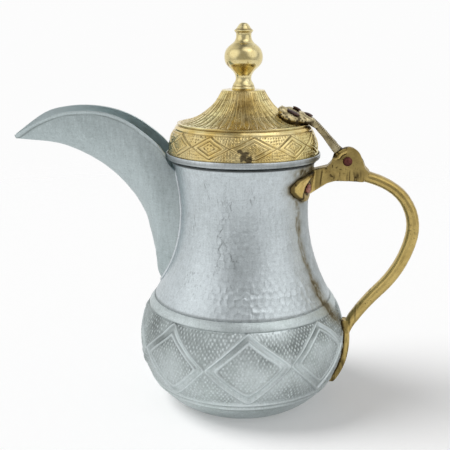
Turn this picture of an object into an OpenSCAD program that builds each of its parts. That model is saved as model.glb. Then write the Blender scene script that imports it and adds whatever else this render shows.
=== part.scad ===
// Dallah coffee pot: hammered aluminium pot with an open beak spout, cast brass handle and hinged brass lid.
// Millimetres. The base stands on z = 0, the handle is on +X and the beak on -X. The lid turns about the hinge pin.

/* [Part shown] */
// piece to draw

/* [Pot] */
// thickness of the pot's wall
wall = 1.6; // [1.4:0.1:2.2]
// height of the mouth
rim_z = 172.6; // [171:0.2:173]
// height of the raised diamond frames
relief = 0.7; // [0.4:0.1:1]
// number of diamonds around the belly
diamonds = 8; // [6:1:8]
// turn of the diamonds from the handle's line
diamond_turn = 12; // [0:1:45]

/* [Spout] */
// thickness of the spout's sheet
spout_wall = 1.5; // [1.2:0.1:2]
// how far the beak is turned off the line opposite the handle
spout_turn = 5; // [-8:1:8]
// diameter of the strainer holes
strainer_d = 3.6; // [2:0.2:3.8]

/* [Handle and hinge] */
// thickness of the grip
grip_t = 7.7; // [6.5:0.1:8.5]
// width of the grip
grip_w = 11; // [9:0.5:12]
// thickness of the leaf on the neck
leaf_t = 2.4; // [2:0.1:3]
// thickness of the foot on the belly
foot_t = 4.6; // [4:0.2:5.4]
// diameter of the hinge pin
pin_d = 4; // [3.5:0.1:4.5]
// clearance of the pin in the strap's eye, on the radius
pin_gap = 0.05; // [0.02:0.01:0.1]

/* [Lid] */
// thickness of the lid's sheet
lid_wall = 1.2; // [1:0.1:1.5]
// gap between the lid's seat and the mouth
lid_gap = 0.3; // [0.3:0.1:0.5]
// diameter of the finial's ball
ball_d = 26; // [24:0.5:28]

/* [Hidden] */
$fn = 96;

// The pot's outside is two arcs of a circle that meet smoothly just under the band.
belly_r = 51.5;
belly_c = [20.9, 45.5];
neck_r = 129;
arc_turn = 31.95;
neck_c = belly_c + (belly_r + neck_r) * [cos(arc_turn), sin(arc_turn)];
seam_z = 73.5;
floor_t = 2;
band_z = [71, 76];
band_t = 1.1;

// radius of the pot's outside at height z on the neck and on the belly
function neck_at(z) = neck_c[0] - sqrt(pow(neck_r, 2) - pow(z - neck_c[1], 2));
function belly_at(z) = belly_c[0] + sqrt(pow(belly_r, 2) - pow(z - belly_c[1], 2));
mouth_r = neck_at(rim_z);
belly_max = belly_c[0] + belly_r;
ring_r = 0.8;

// hinge
pin = [mouth_r + 22.02, rim_z + 0.4];
side_gap = 0.3;
cheek_t = 3.3;
eye_r = 8;
eye_w = 8;
eye_gap = 0.7;
slot_w = eye_w + 2 * side_gap;
slot_r = eye_r + eye_gap;
boss_r = 9.6;
boss_w = slot_w + 2 * cheek_t;
head_d = 6.2;

// rivets through leaf and neck
rivet_turn = 24;
rivet_z = rim_z - 16.6;
rivet_d = 3.2;
burr_d = 5.6;
burr_t = 1;

// lid, measured up from its seat just above the mouth
seat_z = rim_z + lid_gap;
sleeve_t = 1.2;
sleeve_gap = 1.5;
sleeve_z = rim_z - 5.6;
sleeve_r = neck_at(sleeve_z) - wall - sleeve_gap;
dome_z = seat_z + 3.5;
dome_c = [mouth_r - 25, seat_z + 5.1];
dome_r = 27;
spigot_r = dome_c[0] + dome_r - lid_wall;
collar_r = spigot_r + 2.2;
shoulder_h = 17.3;
shoulder = dome_c + [sqrt(pow(dome_r, 2) - pow(shoulder_h, 2)) + 0.1, shoulder_h];
bead_r = 1.1;
lid_top = seat_z + 45.6;
cone_r = 38.1;
cone_foot = shoulder + [-0.4, 1.37];
cone_top = [14.3, lid_top];
// centre of the circle of radius r through p and q, outside the lid
function arc_centre(p, q, r) = let (d = q - p, h = norm(d))
    (p + q) / 2 + sqrt(r * r - h * h / 4) / h * [d[1], -d[0]];
cone_c = arc_centre(cone_foot, cone_top, cone_r);
stud_d = 5;
stud_in = 7.5;
washer_t = 1.5;
pad_t = 3.4;
pad_side = 8.2;
pad_rivets = [[shoulder[0] - 11.8, -pad_side], [shoulder[0] - 11.8, pad_side], [shoulder[0] - 2.9, 0]];
pad_rivet_d = 3;

aluminium = [0.69, 0.73, 0.75];
pale_aluminium = [0.80, 0.83, 0.85];
brass = [0.84, 0.69, 0.36];
old_brass = [0.68, 0.56, 0.28];
copper = [0.52, 0.29, 0.25];

// ---------------------------------------------------------------- shared shapes

// The pot's filled outline in r and z, moved out by d.
module pot_outline(d, z0, z1) {
    meet = belly_c[1] + (belly_r + d) * sin(arc_turn);
    intersection() {
        union() {
            intersection() {
                union() {
                    square([belly_c[0], meet]);
                    translate(belly_c) circle(belly_r + d, $fn = 240);
                }
                square([200, meet]);
            }
            difference() {
                translate([0, meet]) square([neck_c[0], 200 - meet]);
                translate(neck_c) circle(neck_r - d, $fn = 480);
            }
        }
        translate([0, z0]) square([200, z1 - z0]);
    }
}

module pot_solid(d, z0, z1) rotate_extrude() pot_outline(d, z0, z1);

// A skin on the pot's outside from d0 to d1.
module pot_skin(d0, d1, z0, z1) rotate_extrude() difference() {
    pot_outline(d1, z0, z1);
    pot_outline(d0, z0 - 1, z1 + 1);
}

// The lid's filled outline in r and z, moved out by d.
module lid_outline(d) {
    intersection() {
        union() {
            translate([0, dome_z - 5]) square([dome_c[0], 30]);
            translate(dome_c) circle(dome_r + d);
        }
        translate([0, dome_z]) square([60, shoulder[1] + 0.9 - dome_z + min(d, 0)]);
    }
    difference() {
        translate([0, shoulder[1] - 10]) square([shoulder[0] - 0.4 + d, lid_top - shoulder[1] + 10 + d]);
        translate(cone_c) circle(cone_r - d);
    }
}

module lid_solid(d) rotate_extrude() lid_outline(d);

// ---------------------------------------------------------------- pot

// One diamond frame, flat, as wide as w at each side and from z0 up to z1.
module diamond(w, z0, z1, mid) polygon([[0, z0], [w, mid], [0, z1], [-w, mid]]);

module diamond_frames() intersection() {
    pot_skin(-0.5, relief, 18, 70);
    for (i = [0:diamonds - 1]) rotate([0, 0, diamond_turn + 360 / diamonds * i])
        rotate([90, 0, 90]) translate([0, 0, 40]) linear_extrude(45) difference() {
            diamond(belly_max * sin(21.48), 23, 68, 47);
            diamond(belly_max * sin(16.4), 29.6, 62.5, 47);
        }
}

module lower_bowl() color(aluminium) difference() {
    union() {
        pot_solid(0, 0, seam_z);
        difference() {
            union() {
                diamond_frames();
                for (z = [16.5, 19.8]) rotate_extrude() translate([belly_at(z), z]) circle(relief);
            }
            foot_outline();
        }
    }
    pot_solid(-wall, floor_t, seam_z + 1);
}

module waist_band() color(aluminium) pot_skin(0, band_t, band_z[0], band_z[1]);

// The places of the handle's two rivets, pointing outwards from the pot's middle.
module at_leaf_rivets() for (s = [-1, 1]) rotate([0, 0, s * rivet_turn])
    translate([0, 0, rivet_z]) rotate([0, 90, 0]) children();

// height of each row of strainer holes and how many
strainer_rows = [[152, 3], [144, 4], [136, 3], [128, 4], [120, 3]];
module strainer() for (row = strainer_rows) for (i = [0:row[1] - 1])
    rotate([0, 0, 180 + spout_turn + 9 * (i - (row[1] - 1) / 2)])
        translate([neck_at(row[0]) - 10, 0, row[0]]) rotate([0, 90, 0])
            cylinder(d = strainer_d, h = 16, $fn = 24);

module upper_body() color(aluminium) difference() {
    pot_solid(0, seam_z, rim_z);
    pot_solid(-wall, seam_z - 1, rim_z + 1);
    strainer();
    at_leaf_rivets() cylinder(d = rivet_d, h = 60);
}

module rim_ring() color(pale_aluminium) rotate_extrude() difference() {
    translate([mouth_r + 0.2, rim_z - ring_r]) circle(ring_r);
    pot_outline(0, rim_z - 20, rim_z + 10);
}

// ---------------------------------------------------------------- spout

// Stations along the beak, from the back of the mouth: keel point, lip point, half width, how far the sides curl
// round, and lean of the lips.
beak = [
    [[15, -88.6], [15, -4.6], 20.3, 132, 0],
    [[1, -80.6], [2, 0.4], 20.3, 130, 0],
    [[-10.3, -68.6], [-8, 10.9], 19.8, 128, 0],
    [[-13.8, -55.6], [-17, 18.4], 18.6, 124, 0],
    [[-17.8, -41.6], [-28, 25.7], 17, 120, 0],
    [[-26.5, -26.1], [-42, 31], 15.2, 112, 0.2],
    [[-41, -10.6], [-58, 33], 13.6, 104, 0.8],
    [[-60, 1.7], [-75, 31.6], 11.8, 98, 1.6],
    [[-81, 9], [-91, 26.4], 9, 94, 2.4],
    [[-109, 11.4], [-109.6, 14.6], 2.6, 90, 0.4]];
beak_steps = 4;
beak_side = 9;

// A smooth curve through the stations.
function spline(a, b, c, d, t) = 0.5 * (2 * b + (c - a) * t + (2 * a - 5 * b + 4 * c - d) * t * t
    + (3 * b - a - 3 * c + d) * t * t * t);
function station(u, k) = let (n = len(beak) - 1, i = min(floor(u), n - 1), t = u - i)
    spline(beak[max(i - 1, 0)][k], beak[i][k], beak[i + 1][k], beak[min(i + 2, n)][k], t);

// A point of the beak's wall at angle a round the keel; inset is the depth into the wall.
function beak_point(u, a, inset) = let (
        keel = station(u, 0), lip = station(u, 1), w = station(u, 2) - inset, curl = station(u, 3),
        up = (lip - keel) / norm(lip - keel),
        h = (1 - cos(a)) / (1 - cos(curl)),
        p = keel + up * (inset + (norm(lip - keel) - inset) * h))
    [p[0], w * sin(a), p[1] + station(u, 4) * h * sin(a)];
function beak_ring(u) = let (curl = station(u, 3)) concat(
    [for (j = [-beak_side:beak_side]) beak_point(u, curl * j / beak_side, 0)],
    [for (j = [beak_side:-1:-beak_side]) beak_point(u, curl * j / beak_side, spout_wall)]);

module beak_loft() {
    n = beak_steps * (len(beak) - 1);
    m = 2 * (2 * beak_side + 1);
    rings = [for (i = [0:n]) each beak_ring(i / beak_steps)];
    sides = [for (i = [0:n - 1]) for (j = [0:m - 1]) let (a = i * m + j, b = i * m + (j + 1) % m)
        each [[a, b, b + m], [a, b + m, a + m]]];
    caps = [for (j = [0:m / 2 - 2]) let (a = j, b = j + 1, c = m - 2 - j, d = m - 1 - j, e = n * m)
        each [[a, c, b], [a, d, c], [e + a, e + b, e + c], [e + a, e + c, e + d]]];
    polyhedron(rings, concat(sides, caps));
}

module spout() color(aluminium) rotate([0, 0, spout_turn]) difference() {
    translate([-mouth_r, 0, rim_z]) beak_loft();
    pot_solid(0, seam_z - 10, rim_z + 1);
    translate([0, 0, rim_z - 2 * ring_r - 0.2]) cylinder(r = collar_r + 1, h = 40);
}

// ---------------------------------------------------------------- handle and hinge

// The grip's middle line is a chain of arcs: length, turn to the right as it leaves the hinge, thickness at its start.
grip_start = pin + [9.4, -10.2];
grip_arcs = [[20, 19.9, 7.2], [41, 72.5, 7.2], [42.8, 31.6, 8.6], [28, -10.3, 8.4], [15.8, -32.8, 7.6], [0, 0, 3.2]];
grip_foot_z = 46.95;
grip_steps = 9;
grip_side = 6;

// Heading and place at the start of arc i, and part way along it.
function grip_heading(i) = i == 0 ? -9.1 : grip_heading(i - 1) - grip_arcs[i - 1][1];
function along(p, heading, length, turn) = let (mid = heading - turn / 2, chord = abs(turn) < 0.01 ? length
        : length * sin(abs(turn) / 2) / (abs(turn) / 2 * PI / 180))
    p + chord * [cos(mid), sin(mid)];
function grip_place(i) = i == 0 ? grip_start
    : along(grip_place(i - 1), grip_heading(i - 1), grip_arcs[i - 1][0], grip_arcs[i - 1][1]);

// The length before arc i, and what the chain is moved by, little by little, to end on the foot.
function grip_before(i) = i == 0 ? 0 : grip_before(i - 1) + grip_arcs[i - 1][0];
grip_end = len(grip_arcs) - 1;
grip_shift = [belly_at(grip_foot_z) + 1.9, grip_foot_z] - grip_place(grip_end);

// One rounded cross-section, t of the way along arc i.
function grip_ring(i, t) = let (
        p = along(grip_place(i), grip_heading(i), t * grip_arcs[i][0], t * grip_arcs[i][1])
            + grip_shift * (grip_before(i) + t * grip_arcs[i][0]) / grip_before(grip_end),
        out = grip_heading(i) - t * grip_arcs[i][1] + 90,
        r = ((1 - t) * grip_arcs[i][2] + t * grip_arcs[i + 1][2]) / 2 * grip_t / 7.7,
        flat = grip_w / 2 - r)
    [for (s = [0, 1]) for (k = [0:grip_side]) let (
            a = 180 * (s + k / grip_side), q = p + r * cos(a) * [cos(out), sin(out)])
        [q[0], r * sin(a) + (s == 0 ? flat : -flat), q[1]]];

module tube(rings, m) {
    n = len(rings) / m - 1;
    sides = [for (i = [0:n - 1]) for (j = [0:m - 1]) let (a = i * m + j, b = i * m + (j + 1) % m)
        each [[a, b, b + m], [a, b + m, a + m]]];
    polyhedron(rings, concat(sides, [[for (j = [m - 1:-1:0]) j]], [[for (j = [0:m - 1]) n * m + j]]));
}

module grip() tube([for (i = [0:grip_end - 1]) for (k = [i == 0 ? 0 : 1:grip_steps])
    each grip_ring(i, k / grip_steps)], 2 * (grip_side + 1));

// A flat shape in x and z, w thick across the handle.
module slab(w) rotate([90, 0, 0]) linear_extrude(w, center = true) children();

// Half of the leaf's outline, across the pot and up from its rivets.
leaf_edge = [[9.5, 9.9], [21, 8.7], [27.2, 6.6], [31, 2.6], [30.4, -0.8], [26.5, -5], [20.3, -8.9], [16, -9.3],
             [10, -6], [5, -3]];

module leaf() intersection() {
    pot_skin(0, leaf_t, rivet_z - 16, rivet_z + 14);
    rotate([90, 0, 90]) translate([0, rivet_z, 20]) linear_extrude(50)
        polygon(concat(leaf_edge, [for (i = [len(leaf_edge) - 1:-1:0]) [-leaf_edge[i][0], leaf_edge[i][1]]]));
}

// The foot's outline, seen from behind the handle: straight sides and a round toe.
module foot_outline() rotate([90, 0, 90]) translate([0, 0, 40]) linear_extrude(60) polygon(concat(
    [[7, 40], [7.5, 52], [4.5, 60], [-4.5, 60], [-7.5, 52], [-7, 40]],
    [for (a = [190:20:350]) [4 * cos(a), 16 + 4 * sin(a)]]));

module foot() intersection() {
    pot_skin(0, foot_t, 8, 62);
    foot_outline();
}

module handle() color(old_brass) {
    difference() {
        union() {
            slab(boss_w) translate(pin) circle(boss_r);
            slab(grip_w) translate(pin) polygon([[-31, -23], [-25, -23.5], [-17.3, -18.2], [-13, -15.4],
                [-8, -13.8], [1, -13.4], [11, -14], [12, -7.1], [7, -5.7], [1, -5], [-10.5, -3.4],
                [-19.7, -5.7], [-31, -9]]);
            leaf();
            foot();
        }
        pot_solid(0, 0, rim_z + 5);
        slab(slot_w) {
            translate(pin) circle(slot_r);
            translate(pin + [-10.5, -3.2]) square([24, 20]);
        }
        translate([pin[0], 0, pin[1]]) rotate([90, 0, 0]) cylinder(d = pin_d, h = 40, center = true);
        at_leaf_rivets() cylinder(d = rivet_d, h = 60);
    }
    grip();
}

// Round heads outside the leaf, closed over inside the neck.
module leaf_rivets() color(copper) at_leaf_rivets() rivet_body();

module rivet_body() {
    intersection() {
        cylinder(d = rivet_d, h = 60);
        rotate([0, -90, 0]) translate([0, 0, -rivet_z]) pot_skin(-wall - burr_t, leaf_t + 1, rivet_z - 16, rivet_z + 14);
    }
    difference() {
        translate([0, 0, neck_at(rivet_z) + leaf_t]) intersection() {
            sphere(3.4);
            translate([0, 0, -1]) cylinder(d = head_d, h = 3);
        }
        rotate([0, -90, 0]) translate([0, 0, -rivet_z]) pot_solid(leaf_t, rivet_z - 16, rivet_z + 14);
    }
    intersection() {
        cylinder(d = burr_d, h = 60);
        rotate([0, -90, 0]) translate([0, 0, -rivet_z]) pot_skin(-wall - burr_t, -wall, rivet_z - 16, rivet_z + 14);
    }
}

module hinge_pin() color(copper) translate([pin[0], 0, pin[1]]) rotate([90, 0, 0]) {
    cylinder(d = pin_d, h = boss_w, center = true);
    for (s = [0, 1]) mirror([0, 0, s]) translate([0, 0, boss_w / 2]) intersection() {
        translate([0, 0, -2.4]) sphere(4);
        cylinder(d = head_d, h = 4);
    }
}

// The strap: a three-lobed pad riveted to the lid, a flat arm and the eye on the pin.
module pad_plan() translate([shoulder[0], 0]) {
    for (y = [-pad_side, pad_side]) translate([-12.8, y]) circle(7);
    translate([-1.8, 0]) circle(5.2);
    polygon([[-14.8, -6], [-0.8, -5], [-0.8, 5], [-14.8, 6]]);
}

module lid_rivet(k) translate([pad_rivets[k][0], pad_rivets[k][1], 0]) children();

// What the strap must stay off: the lid's outside with the bead round its shoulder.
module lid_outside() {
    lid_solid(0);
    rotate_extrude() translate(shoulder) circle(bead_r + 0.2);
}

module hinge_strap() color(old_brass) difference() {
    union() {
        intersection() {
            lid_solid(pad_t);
            translate([0, 0, shoulder[1] + bead_r]) linear_extrude(40) pad_plan();
        }
        slab(eye_w) {
            translate(pin) circle(eye_r);
            polygon([shoulder + [-0.3, 4.7], shoulder + [2.8, 4.3], pin + [-10.1, 13.7], pin + [-3.5, 7.2],
                     pin + [-7, 3.5], pin + [-12.4, 12.2], shoulder + [2.1, 1.6], shoulder + [-0.3, 2.7]]);
        }
    }
    lid_outside();
    translate([pin[0], 0, pin[1]]) rotate([90, 0, 0]) cylinder(r = pin_d / 2 + pin_gap, h = 40, center = true);
    for (k = [0:2]) lid_rivet(k) cylinder(d = pad_rivet_d, h = 260);
}

module strap_rivets() color(copper) for (k = [0:2]) {
    intersection() {
        lid_rivet(k) translate([0, 0, seat_z + 17]) cylinder(d = pad_rivet_d, h = 30);
        difference() {
            lid_solid(pad_t + 0.6);
            lid_solid(-lid_wall - 0.8);
        }
    }
    difference() {
        intersection() {
            lid_rivet(k) translate([0, 0, seat_z + 17]) cylinder(d = k < 2 ? 6.4 : 5, h = 40);
            lid_solid(pad_t + 1.3);
        }
        lid_solid(pad_t);
    }
    intersection() {
        lid_rivet(k) translate([0, 0, seat_z + 7]) cylinder(d = 5, h = 40);
        difference() {
            lid_solid(-lid_wall);
            lid_solid(-lid_wall - 1);
        }
    }
}

// ---------------------------------------------------------------- lid

module lid_dome() color(brass) difference() {
    union() {
        lid_solid(0);
        rotate_extrude() translate(shoulder) circle(bead_r);
    }
    lid_solid(-lid_wall);
    translate([0, 0, dome_z - 1]) cylinder(r = spigot_r, h = 2.8);
    cylinder(d = stud_d, h = 240);
    for (k = [0:2]) lid_rivet(k) cylinder(d = pad_rivet_d, h = 260);
}

// Seat, flared lip and the spigot that the dome fits over.
module lid_collar() color(pale_aluminium) rotate_extrude() translate([0, seat_z]) polygon([
    [sleeve_r, 0], [mouth_r - 0.6, 0], [mouth_r - 0.6, 0.7], [collar_r - 0.8, 0.7], [collar_r, 1.6],
    [collar_r - 0.1, 3.1], [collar_r - 0.5, 3.5], [spigot_r, 3.5],
    [spigot_r, 5.3], [spigot_r - 1.2, 5.3], [spigot_r - 1.2, 2.3], [sleeve_r, 2.3]]);

module lid_sleeve() color(aluminium) rotate_extrude()
    translate([sleeve_r - sleeve_t, sleeve_z]) square([sleeve_t, dome_z - sleeve_z]);

module finial() color(brass) translate([0, 0, lid_top]) difference() {
    rotate_extrude() intersection() {
        union() {
            square([6.5, 2.5]);
            translate([6.45, 1.25]) circle(1.25);
            difference() {
                translate([0, 1.5]) square([8, 12]);
                translate([12.35, 7]) circle(7);
            }
            translate([ball_d / 2 - 9, 21.8]) circle(9);
            translate([0, 13.5]) square([4.5, 16]);
            difference() {
                translate([0, 28.5]) square([7, 9]);
                translate([10.95, 34.5]) circle(6);
            }
            translate([4.3, 38.5]) circle(1.6);
            polygon([[0, 37], [4.5, 37.5], [5, 39.8], [2.7, 42.7], [1.2, 43.7], [0, 43.7]]);
        }
        square([20, 50]);
    }
    translate([0, 0, -1]) cylinder(d = stud_d, h = stud_in + 1);
}

module finial_stud() color(brass) translate([0, 0, lid_top - lid_wall - 2 * washer_t]) {
    cylinder(d = stud_d, h = lid_wall + 2 * washer_t + stud_in);
    cylinder(d = 8, h = washer_t);
}

module finial_washer() color(brass) translate([0, 0, lid_top - lid_wall - washer_t]) difference() {
    cylinder(d = 14, h = washer_t);
    translate([0, 0, -1]) cylinder(d = stud_d, h = washer_t + 2);
}

lower_bowl();
waist_band();
upper_body();
rim_ring();
spout();
handle();
leaf_rivets();
hinge_pin();
hinge_strap();
strap_rivets();
lid_dome();
lid_collar();
lid_sleeve();
finial();
finial_stud();
finial_washer();
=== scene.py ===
"""A dallah: hammered aluminium coffee pot, open beak, cast brass handle and hinged, engraved brass lid."""

import itertools
import math

import bpy
import numpy as np
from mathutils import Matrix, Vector


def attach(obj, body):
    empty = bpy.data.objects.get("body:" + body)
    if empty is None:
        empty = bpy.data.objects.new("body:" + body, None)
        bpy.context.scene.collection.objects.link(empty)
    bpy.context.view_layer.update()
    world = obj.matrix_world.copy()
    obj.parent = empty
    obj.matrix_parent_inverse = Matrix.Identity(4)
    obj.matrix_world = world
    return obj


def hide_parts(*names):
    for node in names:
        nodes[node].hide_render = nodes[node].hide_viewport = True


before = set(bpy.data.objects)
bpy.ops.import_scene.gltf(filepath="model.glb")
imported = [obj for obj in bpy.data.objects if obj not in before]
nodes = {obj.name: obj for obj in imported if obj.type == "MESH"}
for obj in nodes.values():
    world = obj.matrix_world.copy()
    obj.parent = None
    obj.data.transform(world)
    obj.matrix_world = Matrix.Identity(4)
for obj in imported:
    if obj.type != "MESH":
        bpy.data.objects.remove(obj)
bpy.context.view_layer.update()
MM = 0.001
TAU = 2 * math.pi


# ---------------------------------------------------------------- sums for relief

def step(a, b, x):
    """0 below a, 1 above b, smooth between; a may be above b."""
    t = np.clip((x - a) / (b - a), 0, 1)
    return t * t * (3 - 2 * t)


def bump(x, width):
    """1 where x is 0, and next to nothing beyond twice the width."""
    return np.exp(-(x / width) ** 2)


def capped(x):
    return np.clip(x, 0, 1)


def chance(seed):
    """A table of repeatable chances from -1 to 1."""
    return np.random.default_rng(seed).uniform(-1, 1, 4096)


def scatter(i, j, k=0):
    """A repeatable place in a table of chances for a cell."""
    return (i * 73856093 ^ j * 19349663 ^ k * 83492791) % 4096


def wander(x, y, z, size, seed):
    """Smooth unevenness from -1 to 1, with swellings about size mm across."""
    table = chance(seed)
    low = [np.floor(v / size).astype(np.int64) for v in (x, y, z)]
    part = [v / size - n for v, n in zip((x, y, z), low)]
    part = [p * p * (3 - 2 * p) for p in part]
    total = 0
    for corner in itertools.product((0, 1), repeat=3):
        weight = math.prod(p if c else 1 - p for p, c in zip(part, corner))
        total = total + weight * table[scatter(*(n + c for n, c in zip(low, corner)))]
    return total


def wander_at(x, y, z):
    """The same at these places, to be called with a size and a seed."""
    return lambda size, seed: wander(x, y, z, size, seed)


def punched(a, b, pitch, size, seed):
    """Round punch marks, one to a cell of a wandering lattice: 1 at a mark's middle, 0 away from it."""
    i, j = np.floor(a / pitch).astype(np.int64), np.floor(b / pitch).astype(np.int64)
    side, up, force = chance(seed), chance(seed + 1), chance(seed + 2)
    cell = scatter(i, j)
    da = a / pitch - i - 0.5 - 0.16 * side[cell]
    db = b / pitch - j - 0.5 - 0.16 * up[cell]
    return np.exp(-(da * da + db * db) * (pitch / size) ** 2) * (0.8 + 0.3 * force[cell])


def hammered(a, b, wide, high, seed, around):
    """Facets left by a planishing hammer, around of them to a row.

    Gives the distance from the nearest blow's middle, the distance inside its facet's edge, the facet's
    tilt, and the height above the blow's middle.
    """
    side, up, force = chance(seed), chance(seed + 1), chance(seed + 2)
    row = np.floor(b / high).astype(np.int64)
    best, second = np.full(a.shape, 1e9), np.full(a.shape, 1e9)
    tilt, rise = np.zeros(a.shape), np.zeros(a.shape)
    for j in (row - 1, row, row + 1):
        shift = 0.5 * (j % 2) + 0.3 * side[scatter(j, 7)]
        own = np.floor(a / wide - shift).astype(np.int64)
        for i in (own - 1, own, own + 1):
            cell = scatter(i % around, j)
            across = a - (i + shift + 0.5 + 0.30 * side[cell]) * wide
            above = b - (j + 0.5 + 0.26 * up[cell]) * high
            far = np.hypot(across, above) - 0.3 * force[cell]
            nearer = far < best
            second = np.where(nearer, best, np.minimum(second, far))
            tilt = np.where(nearer, across * side[cell] + above * up[scatter(i % around, j, 5)], tilt)
            rise = np.where(nearer, above, rise)
            best = np.where(nearer, far, best)
    return best, (second - best) / 2, tilt, rise


def line_distance(across, up, line):
    """Distance in mm from points (across, up) to a broken line."""
    best = np.full(np.broadcast(across, up).shape, 1e9)
    for (a, b), (c, d) in zip(line, line[1:]):
        long = max((c - a) ** 2 + (d - b) ** 2, 1e-9)
        t = np.clip(((across - a) * (c - a) + (up - b) * (d - b)) / long, 0, 1)
        best = np.minimum(best, np.hypot(across - a - t * (c - a), up - b - t * (d - b)))
    return best


def wrap(angle):
    """The same angle between half a turn either way."""
    return (angle + math.pi) % TAU - math.pi


def only(where, marks):
    """Marks that hold only where this is true."""
    return {name: np.where(where, value, 0) for name, value in marks.items()}


# ---------------------------------------------------------------- meshes

def shown(name, mesh, paint, body, node=None):
    """Puts a mesh on its body, and in the place of its plain solid."""
    mesh.materials.clear()
    mesh.materials.append(paint)
    thing = bpy.data.objects.new(name, mesh)
    bpy.context.scene.collection.objects.link(thing)
    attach(thing, body)
    if node:
        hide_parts(node)
    return thing


def add_marks(mesh, marks):
    """Named values at a mesh's points, for its finish."""
    for name, values in marks.items():
        layer = mesh.attributes.new(name, "FLOAT", "POINT")
        layer.data.foreach_set("value", np.ascontiguousarray(values, np.float32).ravel())


def smooth_mesh(name, points, faces, marks):
    """A mesh from points in mm and faces with four corners."""
    mesh = bpy.data.meshes.new(name)
    points = np.ascontiguousarray(points, np.float32).reshape(-1, 3) * MM
    faces = np.ascontiguousarray(faces, np.int32)
    mesh.vertices.add(len(points))
    mesh.vertices.foreach_set("co", points.ravel())
    mesh.loops.add(faces.size)
    mesh.loops.foreach_set("vertex_index", faces.ravel())
    mesh.polygons.add(len(faces))
    mesh.polygons.foreach_set("loop_start", np.arange(0, faces.size, 4, dtype=np.int32))
    mesh.update(calc_edges=True)
    add_marks(mesh, marks)
    mesh.shade_smooth()
    return mesh


def points_of(mesh):
    """A mesh's points in mm."""
    points = np.zeros(len(mesh.vertices) * 3, np.float32)
    mesh.vertices.foreach_get("co", points)
    return points.reshape(-1, 3).astype(float) / MM


def set_points(mesh, points):
    mesh.vertices.foreach_set("co", (points * MM).astype(np.float32).ravel())


def settle(thing):
    """Turns a piece with modifiers into the mesh that they give."""
    bpy.context.view_layer.update()
    graph = bpy.context.evaluated_depsgraph_get()
    mesh = bpy.data.meshes.new_from_object(thing.evaluated_get(graph))
    thing.modifiers.clear()
    thing.data = mesh
    return thing


def grid_faces(rows, cols, round_rows=False):
    """Faces of a grid of points whose columns close on themselves, and its rows if asked."""
    i = np.arange(rows if round_rows else rows - 1)[:, None]
    j = np.arange(cols)[None, :]
    k, m = (i + 1) % rows, (j + 1) % cols
    return np.stack([i * cols + j, i * cols + m, k * cols + m, k * cols + j], -1).reshape(-1, 4)


def dense(points, gap):
    """A line through points in mm with one more point wherever they are over gap apart."""
    line = [points[0]]
    for a, b in zip(points, points[1:]):
        n = max(1, math.ceil(math.dist(a, b) / gap))
        line += [[a[0] + (b[0] - a[0]) * t / n, a[1] + (b[1] - a[1]) * t / n] for t in range(1, n + 1)]
    return np.array(line, float)


def rounded(points, rounds=2):
    """A line with its corners cut, each time a quarter in from both sides."""
    line = np.array(points, float)
    for _ in range(rounds):
        a, b = line[:-1], line[1:]
        cut = np.stack([a * 0.75 + b * 0.25, a * 0.25 + b * 0.75], 1).reshape(-1, 2)
        line = np.concatenate([line[:1], cut, line[-1:]])
    return line


def turned(name, profile, count, body, paint, node, relief, closed=True):
    """A turned piece from its outline (r, z), anticlockwise; relief gives a height and marks."""
    r, z = np.asarray(profile, float).T
    if closed:
        dr, dz = np.roll(r, -1) - np.roll(r, 1), np.roll(z, -1) - np.roll(z, 1)
    else:
        dr, dz = np.gradient(r), np.gradient(z)
    length = np.maximum(np.hypot(dr, dz), 1e-9)
    out_r, out_z = (dz / length)[:, None], (-dr / length)[:, None]
    turn, r, z = np.broadcast_arrays(np.arange(count)[None, :] / count * TAU, r[:, None], z[:, None])
    height, marks = relief(turn, r, z)
    r = r + height * out_r
    points = np.stack([r * np.cos(turn), r * np.sin(turn), z + height * out_z], -1)
    mesh = smooth_mesh(name, points, grid_faces(*r.shape, closed), marks)
    return shown(name, mesh, paint, body, node)


def cord_along(name, line, radius, body, paint, uneven, seed, sides=10):
    """A thin round bead along a line of points in mm."""
    ahead = np.gradient(line, axis=0)
    ahead /= np.maximum(np.linalg.norm(ahead, axis=1, keepdims=True), 1e-9)
    side = np.cross(ahead, [0.0, 0.0, 1.0])
    side /= np.maximum(np.linalg.norm(side, axis=1, keepdims=True), 1e-9)
    rise = np.cross(side, ahead)
    a = (np.arange(sides) / sides * TAU)[None, :, None]
    thick = radius * (1 + uneven * wander(*line.T, 4, seed))[:, None, None]
    taper = np.minimum(np.arange(len(line)), np.arange(len(line))[::-1])[:, None, None]
    thick = thick * np.clip(taper / 3 + 0.05, 0, 1)
    points = line[:, None] + thick * (side[:, None] * np.cos(a) + rise[:, None] * np.sin(a))
    return shown(name, smooth_mesh(name, points, grid_faces(len(line), sides), {}), paint, body)


def oval(middle, across, along, out, sides=24, rings=12):
    """Points and faces of an oval with three half axes, in mm."""
    middle, across, along, out = (np.array(v, float) for v in (middle, across, along, out))
    around = [across * math.cos(b) + along * math.sin(b) for b in np.arange(sides) * TAU / sides]
    points = [middle - out]
    for i in range(1, rings):
        a = math.pi * i / rings
        points += [middle - out * math.cos(a) + math.sin(a) * v for v in around]
    points.append(middle + out)
    faces = [(0, 1 + (k + 1) % sides, 1 + k) for k in range(sides)]
    for low in range(1, 1 + (rings - 2) * sides, sides):
        ring = [(low + k, low + (k + 1) % sides) for k in range(sides)]
        faces += [(a, b, b + sides, a + sides) for a, b in ring]
    last = 1 + (rings - 2) * sides
    faces += [(last + k, last + (k + 1) % sides, len(points) - 1) for k in range(sides)]
    return points, faces


def add_oval(points, faces, *shape):
    """An oval more in a list of points, in metres, and faces."""
    more, sides = oval(*shape)
    faces += [tuple(len(points) + k for k in side) for side in sides]
    points += [tuple(v * MM) for v in more]


# ---------------------------------------------------------------- the pot's form

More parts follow.
